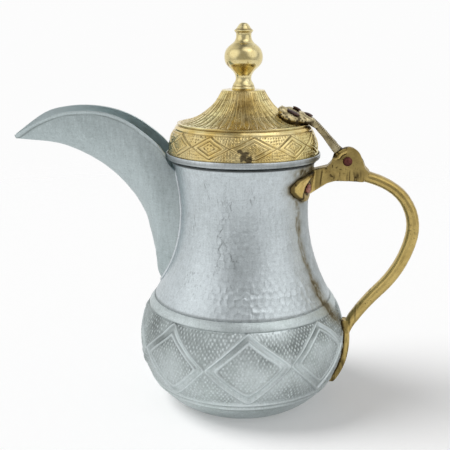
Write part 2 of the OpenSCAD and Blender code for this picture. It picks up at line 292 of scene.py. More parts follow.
BELLY, BELLY_R = (20.9, 45.5), 51.5
NECK, NECK_R = (174.056, 141.017), 129.0
MEET, SEAM, RIM = 72.75, 73.5, 172.6
WALL = 1.6
VIEWED = -80  # degrees round the pot of the side that faces the camera
SPOUT_TURN = math.radians(185)
PIN, RIVET_Z, RIVET_Y = (71.0, 173.0), 156.0, 18.8
# the leaf that lies on the neck: distance from the pot's long plane, and height over its rivet
LEAF = [(9.5, 9.9), (21, 8.7), (27.2, 6.6), (31, 2.6), (30.4, -0.8), (26.5, -5), (20.3, -8.9), (16, -9.3),
        (10, -6), (5, -3)]
LEAF_CREASE = [(14.3, 9.4), (19.5, 5), (22.6, 1), (24.0, -3), (23.4, -7.2)]
LEAF_TURN = 3.2


def pot_radius(z, out=0.0):
    """Radius of the pot's outside at height z, or out mm beyond it."""
    z = np.asarray(z, float)
    low = BELLY[0] + np.sqrt(np.maximum((BELLY_R + out) ** 2 - (z - BELLY[1]) ** 2, 0))
    high = NECK[0] - np.sqrt(np.maximum((NECK_R - out) ** 2 - (z - NECK[1]) ** 2, 0))
    return np.where(z < MEET, low, high)


def pot_line(rows, out=0.0):
    """The pot's outline at these heights, as points (r, z)."""
    return [[float(pot_radius(z, out)), z] for z in rows]


def leaf_turn(turn):
    """How far, in degrees, a leaf is bent in at this many degrees from the pot's long plane."""
    return LEAF_TURN * step(8, 17, turn) - 2.2 * step(26, 38, turn)


def leaf_across(x, y):
    """Distance across a leaf from the pot's long plane, before the leaf was bent in towards the handle."""
    turn = np.abs(np.degrees(np.arctan2(y, x)))
    return np.hypot(x, y) * np.sin(np.radians(turn + leaf_turn(turn)))


def bent_in(x, y, z):
    """The same, the other way: points of a leaf turned in towards the handle."""
    turn, r = np.degrees(np.arctan2(y, x)), np.hypot(x, y)
    turn = np.radians(turn - np.sign(turn) * leaf_turn(np.abs(turn)) * (r < 60) * (z > 120))
    return r * np.cos(turn), r * np.sin(turn)


# the brown trail under the handle's leaf: degrees round the pot, and height
TRAIL = np.array([(-31.5, 150), (-30.5, 145), (-28.6, 138.8), (-27.2, 133.8), (-26.2, 128.2), (-24.4, 121.2),
                  (-23.4, 114.3), (-22.6, 108.7), (-20.9, 100.3), (-19.5, 93.3), (-17.6, 86.1), (-16.8, 79.2),
                  (-14.9, 72.7), (-11.8, 66.2), (-6, 60.4)])


def trail(turn, z):
    """How brown the pot is where coffee ran down from the leaf."""
    middle = np.interp(z, TRAIL[::-1, 1], TRAIL[::-1, 0]) - 1.6 * step(140, 120, z)
    mm = np.radians(np.degrees(wrap(turn)) - middle) * pot_radius(z)
    none = 0 * mm
    width = 3.3 + 1.2 * wander(none + 5, z, none, 7, 31) + 3.4 * step(104, 74, z)
    blotch = 0.62 + 0.25 * step(112, 84, z)
    blotch = blotch + 0.34 * wander(mm, z, none, 4, 33) + 0.30 * wander(mm, z, none, 1.4, 34)
    core = bump(mm + 1.3 + 1.2 * wander(none, z, none, 4, 32), 0.9)
    core = core * step(-0.35, 0.35, wander(none, z, none + 9, 7, 35))
    brown = bump(mm - 1.2, width) * blotch + 0.45 * core + 0.15 * bump(mm, 8) * step(84, 72, z)
    return capped(brown * step(153, 147, z) * step(57, 66, z))


# ---------------------------------------------------------------- finishes

class Mix:
    """An output of a shader node, for writing shader sums as plain sums."""

    def __init__(self, tree, out):
        self.tree, self.out = tree, out

    def node(self, kind, settings=None, inputs=None, out=0):
        """Any other node, from its type, its settings and its sockets' values."""
        made = self.tree.nodes.new(kind)
        for key, value in (settings or {}).items():
            setattr(made, key, value)
        for key, value in (inputs or {}).items():
            if isinstance(value, Mix):
                self.tree.links.new(value.out, made.inputs[key])
            else:
                made.inputs[key].default_value = value
        return Mix(self.tree, made.outputs[out])

    def sum(self, operation, a, b):
        if any(isinstance(v, Mix) and v.out.type in ("VECTOR", "RGBA") for v in (a, b)):
            a, b = [v if isinstance(v, (Mix, tuple)) else (v, v, v) for v in (a, b)]
            return self.node("ShaderNodeVectorMath", {"operation": operation}, {0: a, 1: b})
        return self.node("ShaderNodeMath", {"operation": operation}, {0: a, 1: b})

    def __add__(self, b): return self.sum("ADD", self, b)
    def __sub__(self, b): return self.sum("SUBTRACT", self, b)
    def __mul__(self, b): return self.sum("MULTIPLY", self, b)
    def __radd__(self, b): return self.sum("ADD", b, self)
    def __rsub__(self, b): return self.sum("SUBTRACT", b, self)
    def __rmul__(self, b): return self.sum("MULTIPLY", b, self)

    def mark(self, name):
        """One of the piece's named values."""
        return self.node("ShaderNodeAttribute", {"attribute_name": name}, out="Fac")

    def noise(self, size, detail=2.0, rough=0.5, stretch=(1, 1, 1)):
        """Noise from 0 to 1 with features about size mm across."""
        place = self.node("ShaderNodeTexCoord", out="Object") * tuple(v / (size * MM) for v in stretch)
        inputs = {"Vector": place, "Scale": 1.0, "Detail": detail, "Roughness": rough}
        return self.node("ShaderNodeTexNoise", {}, inputs)

    def between(self, low, high):
        """This value taken from low..high to 0..1, smoothly."""
        return self.node("ShaderNodeMapRange", {"interpolation_type": "SMOOTHSTEP"},
                         {"Value": self, "From Min": low, "From Max": high})

    def blend(self, a, b):
        """Colour a where this is 0, colour b where it is 1."""
        a, b = [v if isinstance(v, Mix) else (*v, 1) for v in (a, b)]
        return self.node("ShaderNodeMix", {"data_type": "RGBA"}, {0: self, 6: a, 7: b}, 2)

    def raised(self, height):
        """A normal for a surface of this height, where 1 is height mm."""
        return self.node("ShaderNodeBump", {}, {"Height": self, "Strength": 1.0, "Distance": height * MM})


def finish(name, recipe):
    """A material whose recipe gives the values of the Principled shader's sockets."""
    paint = bpy.data.materials.new(name)
    paint.use_nodes = True
    tree = paint.node_tree
    tree.nodes.clear()
    end = tree.nodes.new("ShaderNodeOutputMaterial")
    m = Mix(tree, None)
    shader = m.node("ShaderNodeBsdfPrincipled", {}, recipe(m))
    tree.links.new(shader.out, end.inputs["Surface"])
    return paint


def paler(colour, share, most=0.95):
    return tuple(min(v * share, most) for v in colour)


# grey for grime and painted shade; browns for the coffee trail; black for cracks and painted shadow
GREY_GRIME_AND_SHADE, BROWN_TRAIL, DARK_TRAIL, CRACK_AND_SHADOW = (
    (0.13, 0.145, 0.138), (0.235, 0.20, 0.115), (0.12, 0.10, 0.06), (0.045, 0.05, 0.05))
SOOT = (0.035, 0.026, 0.02)


def aluminium(pale, deep, grip=0.36, clouds=1.0):
    """Worn, brushed aluminium: cloudy, greyed where marked for grime and painted shade, paler where marked
    for wear and painted highlights.
    """
    def recipe(m):
        big, mid, fine = m.noise(46, 3.0), m.noise(9, 3.0, 0.6), m.noise(1.0, 3.0, 0.7)
        brushed = m.noise(1.6, 3.0, 0.65, (1, 1, 0.14))
        across = m.noise(1.5, 3.0, 0.65, (0.2, 0.2, 1))
        hollow, rubbed, stain = m.mark("hollow"), m.mark("rubbed"), m.mark("stain")
        colour = ((big * 0.6 + mid * 0.4 - 0.5) * (2.2 * clouds) + 0.5).between(0.0, 1.0).blend(deep, pale)
        grain = fine * 0.5 + brushed * 0.3 + across * 0.2
        colour = (grain.between(0.50, 0.62) * 0.42).blend(colour, paler(pale, 1.25, 1.0))
        colour = (grain.between(0.50, 0.38) * 0.42).blend(colour, paler(deep, 0.66))
        # paler where wear and painted highlights are marked
        colour = (rubbed * 0.55).blend(colour, paler(pale, 1.32, 0.92))
        # grey where grime and painted shade are marked
        colour = (hollow * 0.72).blend(colour, GREY_GRIME_AND_SHADE)
        colour = (stain * mid.between(0.20, 0.42)).blend(colour, BROWN_TRAIL)
        colour = stain.between(0.75, 1.15).blend(colour, DARK_TRAIL)
        colour = m.mark("crack").blend(colour, CRACK_AND_SHADOW)
        dull = hollow * 0.14 + stain * 0.2 + mid * 0.14 + (grip - 0.07) - rubbed * 0.06
        return {"Base Color": colour, "Metallic": 1.0, "Roughness": dull,
                "Normal": (mid * 0.3 + brushed * 0.25 + across * 0.1 + fine * 0.35).raised(0.26)}
    return recipe


def brass(pale, deep, grime_and_shade_colour, gloss, wear, wave=0.0):
    """Old brass: two tones, grime in its pores, grime and painted shade where marked, paler with wear and
    painted highlights, soot on its stains.
    """
    def recipe(m):
        big, mid, fine = m.noise(24, 3.0), m.noise(5, 3.0, 0.6), m.noise(0.8, 2.0, 0.6)
        hollow, stain = m.mark("hollow"), m.mark("stain")
        colour = (big * 0.65 + mid * 0.35).between(0.36, 0.64).blend(deep, pale)
        colour = (fine.between(0.55, 0.7) * 0.25).blend(colour, paler(pale, 1.25))
        pores = fine.between(0.40, 0.30) * mid.between(0.42, 0.56)
        colour = (pores * 0.75).blend(colour, grime_and_shade_colour)
        # paler where wear and painted highlights are marked
        colour = (m.mark("rubbed") * 0.6).blend(colour, paler(pale, 1.3))
        # this colour paints both grime and painted shade
        colour = hollow.blend(colour, grime_and_shade_colour)
        colour = (stain * 0.85).blend(colour, SOOT)
        dull = hollow * 0.3 + stain * 0.3 + mid * 0.12 + big * 0.06 + (gloss - 0.09)
        return {"Base Color": colour, "Metallic": 1.0, "Roughness": dull,
                "Normal": (mid * 0.6 + fine * 0.4 + m.noise(9, 1.0) * wave).raised(wear)}
    return recipe


def rivet_copper(pale, deep):
    def recipe(m):
        mid, fine = m.noise(2.4, 3.0, 0.6), m.noise(0.6, 2.0)
        return {"Base Color": mid.between(0.35, 0.65).blend(deep, pale), "Metallic": 1.0,
                "Roughness": mid * 0.2 + 0.34, "Normal": (mid * 0.6 + fine * 0.4).raised(0.16)}
    return recipe


BOWL_METAL = finish("aluminium_bowl", aluminium((0.60, 0.655, 0.665), (0.47, 0.53, 0.525), 0.42))
NECK_METAL = finish("aluminium_neck", aluminium((0.61, 0.665, 0.69), (0.50, 0.55, 0.565), 0.41))
# the beak's aluminium is darker and duller than the neck's: partly its own tone, partly painted shade
SPOUT_METAL = finish("aluminium_spout", aluminium((0.51, 0.575, 0.585), (0.42, 0.485, 0.49), 0.50, 0.7))
BRIGHT_METAL = finish("aluminium_bright", aluminium((0.70, 0.745, 0.77), (0.56, 0.61, 0.63), 0.32))
# dark aluminium painted as shadow, for the rim ring under the collar
PAINTED_SHADOW_METAL = finish("aluminium_painted_shadow", aluminium((0.10, 0.11, 0.11), (0.05, 0.055, 0.055), 0.45))
LID_BRASS = finish("lid_brass", brass(
    (0.84, 0.70, 0.36), (0.66, 0.475, 0.155), (0.10, 0.052, 0.010), 0.165, 0.10, 3.0))
FINIAL_BRASS = finish("finial_brass", brass(
    (0.80, 0.70, 0.40), (0.66, 0.54, 0.25), (0.22, 0.13, 0.03), 0.19, 0.03, 1.0))
HANDLE_BRASS = finish("handle_brass", brass(
    (0.60, 0.455, 0.165), (0.40, 0.29, 0.095), (0.075, 0.052, 0.022), 0.32, 0.14))
STRAP_BRASS = finish("strap_brass", brass(
    (0.74, 0.65, 0.42), (0.50, 0.41, 0.21), (0.075, 0.055, 0.03), 0.34, 0.25))
RED_COPPER = finish("red_copper", rivet_copper((0.42, 0.19, 0.14), (0.20, 0.075, 0.055)))
PIN_COPPER = finish("pin_copper", rivet_copper((0.15, 0.050, 0.042), (0.075, 0.028, 0.025)))
BLACK_COPPER = finish("black_copper", rivet_copper((0.11, 0.062, 0.05), (0.045, 0.03, 0.03)))


# ---------------------------------------------------------------- bowl

DIAMONDS, DIAMOND_TURN, DIAMOND_MID = 8, math.radians(12), 47.0
DIAMOND_EDGE, DIAMOND_INNER = (28.0, 21.2, 70.4), (21.0, 28.4, 64.2)  # half width, foot and top
FINE_RIDGES = (20.0, 16.2)


def diamond_depth(across, z, half, low, high):
    """Distance inside a diamond's edge, in mm; its foot is a little round."""
    tall = np.where(z > DIAMOND_MID, high - DIAMOND_MID, DIAMOND_MID - low)
    blunt = 0.3 + 2.0 * step(DIAMOND_MID, DIAMOND_MID - 14, z)
    sideways = (np.hypot(across, blunt) - 0.5 * blunt) / half
    upward = (np.hypot(z - DIAMOND_MID, 1.0) - 0.5) / tall
    return (1 - sideways - upward) * half * tall / np.hypot(half, tall)


def bowl_relief(turn, r, z):
    """Raised double-edged diamonds on a stippled belly, and two fine ridges under them."""
    x, y, degrees = r * np.cos(turn), r * np.sin(turn), np.degrees(wrap(turn))
    rough = wander_at(x, y, z)
    pitch = TAU / DIAMONDS
    own = np.round((turn - DIAMOND_TURN) / pitch)
    across = r * np.sin(turn - DIAMOND_TURN - own * pitch) + 0.35 * rough(17, 11)
    sag = 1.7 * np.sin(2 * (turn - math.radians(VIEWED))) * step(16, 30, z) * step(71, 60, z)
    up = z + 0.5 * rough(23, 12) - sag
    outer, inner = diamond_depth(across, up, *DIAMOND_EDGE), diamond_depth(across, up, *DIAMOND_INNER)
    channel = step(0.4, 1.6, outer) * step(-0.2, -1.4, inner)
    low_ridge, fine_ridge = FINE_RIDGES

    # stipple: punch marks on a slanting lattice, over the ground and inside the diamonds
    beyond = step(0.35, 1.2, -outer) * step(21.4, 22.8, up) * step(70.6, 69.6, up)
    middle = 1 - 0.62 * bump(np.hypot(across, up - 45), 9)
    ground = np.maximum(beyond, step(0.5, 1.4, inner) * middle)
    slant = across * 0.86
    dots = punched(slant + up * 0.51 + 300 + 40 * own, slant - up * 0.51 + 300, 2.15, 0.60, 21)
    ground = ground * np.clip(0.62 + 0.5 * rough(13, 13) + 0.35 * step(38, 62, z), 0.25, 1.15)

    height = 0.20 * step(-0.4, 0.6, outer) * step(0.8, -0.8, inner)
    height += 0.72 * bump(outer - 0.5, 0.75) + 0.48 * bump(inner + 0.2, 0.9)
    height -= 0.75 * channel * (0.6 + 0.4 * step(44, 60, z))
    height += ground * (0.80 * dots - 0.22)
    height += 0.62 * bump(z - low_ridge, 0.85) + 0.62 * bump(z - fine_ridge, 0.95)
    height -= 0.25 * bump(z - 18.1, 0.7)
    height -= 0.30 * bump(z - 70.6, 0.7)
    height = np.where((r > 50) & (z > 5), height, 0) + 0.22 * rough(27, 14) * step(2, 12, z)

    # painted sheen: a bright patch high on the belly near the viewed side
    painted_sheen = bump(np.hypot((degrees + 66) * 0.9, (z - 70.5) * 2.3), 14)
    # painted shade down one side of each channel, and a painted dark streak by the inner ridge
    shaded = channel * step(3, -4, across) * step(44, 58, z) * (0.75 + 0.5 * rough(7, 16))
    shaded_streak = channel * step(-4, 4, across) * step(50, 58, z) * bump(inner + 1.3, 0.45)
    # darker: grime in the stipple, and painted shade in the channels, beside the ridges and grooves, and down
    # the left side
    hollow = ground * (1 - 1.6 * dots) * 0.95 * (1 - painted_sheen) + 0.95 * shaded + 0.6 * shaded_streak + 0.14 * channel
    hollow += 0.50 * bump(outer + 0.3, 0.45) + 0.40 * bump(inner - 1.0, 0.5)
    hollow += 0.32 * step(-108, -135, degrees)
    hollow += 0.5 * bump(z - 18.1, 0.8) + 0.5 * bump(z - 14.7, 0.8) + 0.4 * bump(z - 70.6, 0.6)
    hollow = capped(hollow) * (0.62 + 0.45 * rough(11, 15) + 0.12 * step(40, 62, z))
    # painted highlight down the other side of each channel
    lit = channel * step(-3, 4, across) * step(46, 56, z)
    ridges = (0.95 * bump(outer - 0.5, 0.45) + 0.55 * bump(inner + 0.2, 0.5)) * (0.4 + 0.6 * step(36, 52, z))
    # paler: ridges and raised punch marks, worn and painted as highlight, and the painted sheen and highlight
    rubbed = 1.1 * painted_sheen + ground * step(0.35, 0.75, dots) + ridges + 0.8 * lit
    rubbed += 0.6 * bump(z - low_ridge, 0.6) + 0.5 * bump(z - fine_ridge, 0.6)
    outside = np.abs(r - pot_radius(z)) <= 0.8
    return np.where(outside, height, 0), only(outside, {
        "hollow": capped(hollow), "rubbed": capped(rubbed), "stain": trail(turn, z)})


def make_bowl():
    ends = [math.asin((z - BELLY[1]) / BELLY_R) for z in (14.2, 71.0)]
    rows = [*np.arange(1.0, 13.0, 0.8), 13.6]
    rows += [BELLY[1] + BELLY_R * math.sin(a) for a in np.linspace(*ends, 146)] + [72.2, SEAM]
    foot = [[0.02, 0.5], [30, 0.5], [40, 0.3], [43.4, 0.0], [44.6, 0.12], [45.4, 0.55]]
    floor = [[42.2, 3.4], [38.5, 2.3], [34, 2.0], [0.02, 2.0]]
    line = foot + pot_line(rows) + pot_line(np.linspace(SEAM, 6.0, 30), -WALL) + floor
    turned("bowl", line, 1040, "pot", BOWL_METAL, "lower_bowl", bowl_relief)


# ---------------------------------------------------------------- band at the waist

# height, and how far the band stands out of the pot there
BAND = [(70.6, 0.1), (71.0, 0.40), (71.7, 0.62), (72.7, 0.72), (73.7, 0.68), (74.7, 0.55), (75.5, 0.38),
        (76.1, 0.2), (76.5, 0.02), (76.0, -0.4), (74.0, -0.4), (72.0, -0.4), (71.0, -0.4)]


def band_relief(turn, r, z):
    rough = wander_at(r * np.cos(turn), r * np.sin(turn), z)
    outer = r > pot_radius(z, 0.3)
    # painted shade along the band's top and foot, where it meets the pot
    hollow = capped(0.5 * bump(z - 76.4, 0.6) + 0.5 * bump(z - 70.7, 0.6))
    return np.where(outer, 0.26 * rough(15, 41) + 0.12 * rough(5, 42), 0), {
        "hollow": np.where(outer, hollow, 0), "stain": trail(turn, z)}


def make_band():
    line = [[float(pot_radius(z)) + out, z] for z, out in BAND]
    turned("band", line, 480, "pot", BOWL_METAL, "waist_band", band_relief)


# ---------------------------------------------------------------- neck

# fine cracks: degrees round the neck, and height
CRACKS = [[(-94, 155), (-96.7, 150.2), (-93.4, 146.4), (-95.1, 141.7), (-99.3, 137.5), (-97.6, 133.7),
           (-101.7, 128.2), (-97.2, 124.6), (-100.3, 119.2), (-99, 115.5), (-101.2, 111.5), (-101.4, 106.4),
           (-103, 103)],
          [(-91, 153), (-90.2, 150.4), (-91.6, 148.3), (-90.4, 145.6)],
          [(-93.4, 146.4), (-92, 143.4), (-92.6, 140.5)],
          [(-91.1, 116.6), (-87, 112.3), (-88.3, 106.0)],
          [(-97.2, 124.6), (-93.6, 122), (-94, 118.5)]]
FRONT_R = 48  # the neck's radius near the cracks
FACETS, FACET_WIDE, FACET_HIGH = 74, 4.25, 3.9


def crack_marks(degrees, z, inside_edge, rough):
    """Fine dark cracks, which run on along the edges of the hammer's facets near by."""
    crack = 0 * z
    across, up = np.radians(degrees) * FRONT_R + 0.5 * rough(2.0, 55), z + 0.5 * rough(2.3, 56)
    for path in CRACKS:
        line = [(math.radians(a) * FRONT_R, b) for a, b in path]
        away = line_distance(across, up, line)
        near = bump(away, 0.24) * capped(0.45 + 0.7 * rough(4, 57))
        edges = 0.62 * bump(away, 2.2) * bump(inside_edge, 0.16) * (z > 99) * step(-0.3, 0.3, rough(5, 47))
        crack = np.maximum(crack, np.maximum(near, edges))
    return crack


def neck_relief(turn, r, z):
    """Hammer facets in front and behind, cracks, brown round the handle's leaf, painted shade and highlights
    on the facets, and painted shadow under the lid.
    """
    x, y, degrees = r * np.cos(turn), r * np.sin(turn), np.degrees(wrap(turn))
    rough = wander_at(x, y, z)
    around = (wrap(turn) + math.pi) / TAU * FACETS * FACET_WIDE
    best, inside_edge, tilt, rise = hammered(around, z - 77.2, FACET_WIDE, FACET_HIGH, 51, FACETS)
    front = 0.25 + 0.75 * step(-112, -97, degrees) * step(20, -20, degrees)
    from_view = np.abs(wrap(turn - math.radians(VIEWED))) * 180 / math.pi
    from_beak = np.abs(np.degrees(wrap(turn - SPOUT_TURN)))
    rear = 0.7 * step(60, 100, from_view) * step(24, 32, from_beak)
    strength = np.maximum(front, rear) * (0.75 + 0.4 * rough(13, 52))
    strength = strength * np.maximum(step(118, 84, z), 0.55 * step(162, 128, z)) * step(172, 166, z)
    facet = 0.050 * np.minimum(best, 3.0) ** 2 + 0.11 * tilt - 0.12 * bump(inside_edge, 0.24) - 0.16
    crack = crack_marks(degrees, z, inside_edge, rough)

    # solder where the handle's arm sits on the neck, and brown round the leaf and on the solder
    leaf = line_distance(leaf_across(x, y), z - RIVET_Z, LEAF + LEAF[:1]) + 99 * (x < 0)
    around_leaf = bump(leaf, 1.3) * (0.9 + 0.3 * rough(3, 58))
    around_leaf += 0.25 * bump(leaf, 6.0) * (0.5 + 0.8 * rough(4, 59))
    lump = bump(np.hypot((np.abs(degrees) - 19) / 17, (z - 167.4) / 4.0), 1.0) * (x > 0)
    lump = capped(lump * (0.75 + 0.6 * rough(2.2, 48)))
    stain = capped(np.maximum(trail(turn, z), around_leaf) + 1.7 * lump)

    height = facet * strength + (0.16 * rough(24, 53) + 0.07 * rough(6, 54)) * step(172, 165, z)
    height += 1.2 * lump - 0.25 * bump(z - 77.0, 0.7) - 0.20 * crack
    right = step(-33, -22, degrees) * step(30, 8, degrees) * step(78, 86, z) * step(160, 150, z)
    # darker: painted shade in the groove over the band, along the facets' edges and at the rim by the hinge;
    # a darker patch on the right towards the handle
    hollow = 0.75 * bump(z - 76.9, 0.8) + 0.34 * bump(inside_edge, 0.28) * strength
    hollow = capped(hollow + 0.5 * bump(z - 172, 1.6) * step(34, 14, np.abs(degrees)))
    hollow = np.maximum(hollow, 0.60 * right * (0.85 + 0.4 * rough(6, 46)))
    scratch = step(0.55, 0.75, wander(x * 2.2 + z * 0.35, y * 2.2, z * 0.22, 1.6, 50))
    scratch = scratch * step(0.1, 0.5, rough(15, 49))
    crack = np.maximum(crack, 0.45 * scratch * step(84, 92, z) * step(168, 160, z))
    # painted shadow: the band just under the lid's collar is black
    crack = np.maximum(0.8 * crack, step(170.4, 171.1, z))
    # paler: painted highlight and wear on the facets' lower edges and over their middles
    rubbed = 0.75 * bump(inside_edge - 0.42, 0.30) * step(-0.2, -1.2, rise)
    rubbed = rubbed + 0.30 * step(0.5, 1.3, inside_edge)
    rubbed = capped(rubbed * strength * (0.65 + 0.8 * rough(5, 60)))
    outer = np.abs(r - pot_radius(z)) < 0.5
    return np.where(outer, height, 0), only(outer, {
        "hollow": hollow, "stain": stain, "rubbed": rubbed, "crack": capped(crack)})


# holes through the neck behind the beak: height of a row, and its holes
STRAINER = [(152, 3), (144, 4), (136, 3), (128, 4), (120, 3)]
HOLE_R, HOLE_SIDES, HOLE_TURN = 1.8, 28, 9


def strainer_drills():
    """Round rods where the strainer's holes go."""
    points, faces, n = [], [], HOLE_SIDES
    for z, count in STRAINER:
        for i in range(count):
            turn = SPOUT_TURN + math.radians(HOLE_TURN * (i - (count - 1) / 2))
            out = np.array([math.cos(turn), math.sin(turn), 0])
            side = np.array([-math.sin(turn), math.cos(turn), 0]) * HOLE_R
            base = len(points)
            for end in (38.0, 54.0):
                ring = np.arange(n) * TAU / n
                points += [out * end + side * math.cos(a) + (0, 0, z + HOLE_R * math.sin(a)) for a in ring]
            pairs = [(base + k, base + (k + 1) % n) for k in range(n)]
            faces += [(a, b, b + n, a + n) for a, b in pairs]
            faces += [list(range(base + n - 1, base - 1, -1)), list(range(base + n, base + 2 * n))]
    mesh = bpy.data.meshes.new("drills")
    mesh.from_pydata([tuple(p * MM) for p in points], [], faces)
    drill = bpy.data.objects.new("drills", mesh)
    bpy.context.scene.collection.objects.link(drill)
    return drill


def make_neck():
    line = pot_line([SEAM, *np.arange(SEAM + 1.2, RIM - 0.3, 0.62)])
    line += [[float(pot_radius(RIM)) - 0.1, RIM - 0.1]] + pot_line(np.linspace(RIM - 0.1, SEAM, 60), -WALL)
    neck = turned("neck", line, 800, "pot", NECK_METAL, "upper_body", neck_relief)
    drill = strainer_drills()
    cut = neck.modifiers.new("strainer", "BOOLEAN")
    cut.operation, cut.object, cut.solver = "DIFFERENCE", drill, "MANIFOLD"
    settle(neck)
    bpy.data.objects.remove(drill)


# ---------------------------------------------------------------- beak

# stations from the back of the mouth: keel x and z, lip x and z, half width, curl in degrees, lips' lean
BEAK = np.array([
    (12, -106, 15, -4.6, 20.3, 132, 0), (-8.6, -87.2, 2, 0.4, 20.3, 130, 0),
    (-11.6, -69.1, -8, 10.9, 19.8, 128, 0), (-14.2, -55.4, -17, 18.4, 18.6, 124, 0),
    (-17.8, -41.6, -28, 25.7, 17, 120, 0), (-26.5, -26.1, -42, 31, 15.2, 112, 0.2),
    (-41, -10.6, -58, 33, 13.6, 104, 0.8), (-60, 1.7, -75, 31.6, 11.8, 98, 1.6),
    (-81, 9, -91, 26.4, 9, 94, 2.4), (-109, 11.4, -109.6, 14.6, 2.6, 90, 0.4)])
LAST_STATION = len(BEAK) - 1
MOUTH, SHEET = float(pot_radius(RIM)), 1.5
HALF_COLS, ROWS = 45, 150  # points from the keel to a lip, and along the beak
FAN = math.pi / 2 * 0.92
FANS = np.sin(np.linspace(-1, 1, 2 * HALF_COLS + 1) * FAN) / math.sin(FAN)
ALONG = np.linspace(0, 1, ROWS)[:, None]


def station(u):
    """All the beak's sizes at place u along it, by a smooth curve through the stations."""
    i = np.minimum(np.floor(u).astype(int), LAST_STATION - 1)
    t = (u - i)[..., None]
    a, b, c, d = (BEAK[np.clip(i + k, 0, LAST_STATION)] for k in (-1, 0, 1, 2))
    bend, twist = 2 * a - 5 * b + 4 * c - d, 3 * b - a - 3 * c + d
    return 0.5 * (2 * b + (c - a) * t + bend * t * t + twist * t ** 3)


def beak_point(u, f, inset):
    """A point of the beak's sheet: u along it, f from -1 to 1 between its lips, inset into its thickness."""
    kx, kz, lx, lz, half, curl, lean = np.moveaxis(station(u), -1, 0)
    curl = np.radians(curl)
    a = curl * f
    long = np.maximum(np.hypot(lx - kx, lz - kz), 1e-6)
    ux, uz = (lx - kx) / long, (lz - kz) / long
    h = (1 - np.cos(a)) / (1 - np.cos(curl))
    along = inset + (long - inset) * h
    return kx + ux * along - MOUTH, (half - inset) * np.sin(a), kz + uz * along + lean * h * np.sin(a) + RIM


def seat_start(f, depth=0.7):
    """Where, along the beak, the sheet leaves the neck's surface."""
    scan = np.linspace(0, 6, 241)
    x, y, z = beak_point(scan[:, None] + 0 * f, f, 0.0)
    within = np.hypot(x, y) < np.where(z < RIM - 1.8, pot_radius(z) - depth, 53.4)
    last = len(scan) - 1 - np.argmax(within[::-1], axis=0)
    return scan[np.minimum(last + 1, len(scan) - 1)] - 0.5 * scan[1]


def turned_beak(x, y, z):
    """Points of the beak where it stands, a little off the pot's long plane."""
    c, s = math.cos(SPOUT_TURN - math.pi), math.sin(SPOUT_TURN - math.pi)
    return np.stack([x * c - y * s, x * s + y * c, z], -1)


def beak_skin(starts, inset):
    """A grid of points over the sheet, at a depth in it."""
    u = starts + (LAST_STATION - starts) * ALONG
    return turned_beak(*beak_point(u, FANS, inset))


def make_beak():
    starts = seat_start(FANS)
    for _ in range(3):
        starts[1:-1] = (starts[:-2] + 2 * starts[1:-1] + starts[2:]) / 4
    outer = beak_skin(starts, 0.0)
    normal = np.cross(np.gradient(outer, axis=1), np.gradient(outer, axis=0))
    normal /= np.maximum(np.linalg.norm(normal, axis=-1, keepdims=True), 1e-9)
    if normal[ROWS // 2, HALF_COLS, 2] > 0:
        normal = -normal
    gaps = np.linalg.norm(np.diff(outer, axis=1), axis=-1)
    run = np.concatenate([np.zeros((ROWS, 1)), np.cumsum(gaps, 1)], 1)
    to_lip = np.minimum(run, run[:, -1:] - run)

    # a rolled lip with a groove inside it, and dents
    rough = wander_at(*np.moveaxis(outer, -1, 0))
    roll = 0.55 * step(2.6, 0.6, to_lip) - 0.26 * bump(to_lip - 3.3, 0.75)
    fade = step(0.0, 0.10, ALONG) * step(1.0, 0.93, ALONG)
    beat = hammered(run + 200, (1 - ALONG) * 150 + 0 * run, 9.0, 9.0, 61, 400)[0]
    dented = 0.007 * np.minimum(beat, 6) ** 2 - 0.10
    lift = (roll + dented * 0.55 + 0.30 * rough(19, 62) + 0.10 * rough(7, 63)) * fade
    inner = beak_skin(starts, SHEET) + normal * (0.22 * rough(17, 64) * fade)[..., None]
    outer = outer + normal * lift[..., None]

    # round lips half way between the two skins, and the two ends closed
    lips = [(outer[:, a] + inner[:, a]) / 2 + (outer[:, a] - outer[:, b]) * 0.35
            for a, b in ((-1, -2), (0, 1))]
    loop = np.concatenate([outer, lips[0][:, None], inner[:, ::-1], lips[1][:, None]], 1)
    loop = np.concatenate([loop, loop[-1:] + (-0.5, -0.05, 0.0)], 0)
    m = loop.shape[1]
    j = np.arange(2 * HALF_COLS)[:, None]
    tip_cap = ROWS * m + np.hstack([j, j + 1, m - 3 - j, m - 2 - j])
    root_cap = np.hstack([j + 1, j, m - 2 - j, m - 3 - j])
    faces = np.concatenate([grid_faces(ROWS + 1, m), tip_cap, root_cap])

    # marks on the outer skin, a lip, the inner skin and the other lip: painted shade in the groove inside the
    # lip and deep in the beak by the pot; the lips paler, worn and painted as highlight; painted highlight
    # over all the inner skin
    none = 0 * to_lip
    lip = none[:, :1]
    marks = {
        "hollow": [0.75 * bump(to_lip - 3.3, 0.55), lip, 0.22 * step(0.30, 0.0, ALONG) + none, lip],
        "rubbed": [0.5 * bump(to_lip - 0.8, 0.9), lip + 0.6, none + 1.8, lip + 0.6]}
    marks = {name: np.concatenate(parts, 1) for name, parts in marks.items()}
    marks = {name: np.concatenate([values, values[-1:]], 0) for name, values in marks.items()}
    shown("beak", smooth_mesh("beak", loop, faces, marks), SPOUT_METAL, "pot", "spout")

    # the solder line where the beak meets the neck
    seam = turned_beak(*beak_point(starts[2:-2], FANS[2:-2], 0.0))
    seam[:, :2] *= ((pot_radius(seam[:, 2]) + 0.25) / np.hypot(seam[:, 0], seam[:, 1]))[:, None]
    seam = seam[seam[:, 2] < RIM - 3.0]
    cord_along("beak_solder", seam, 0.85, "pot", BRIGHT_METAL, 0.25, 65)


# ---------------------------------------------------------------- cast pieces

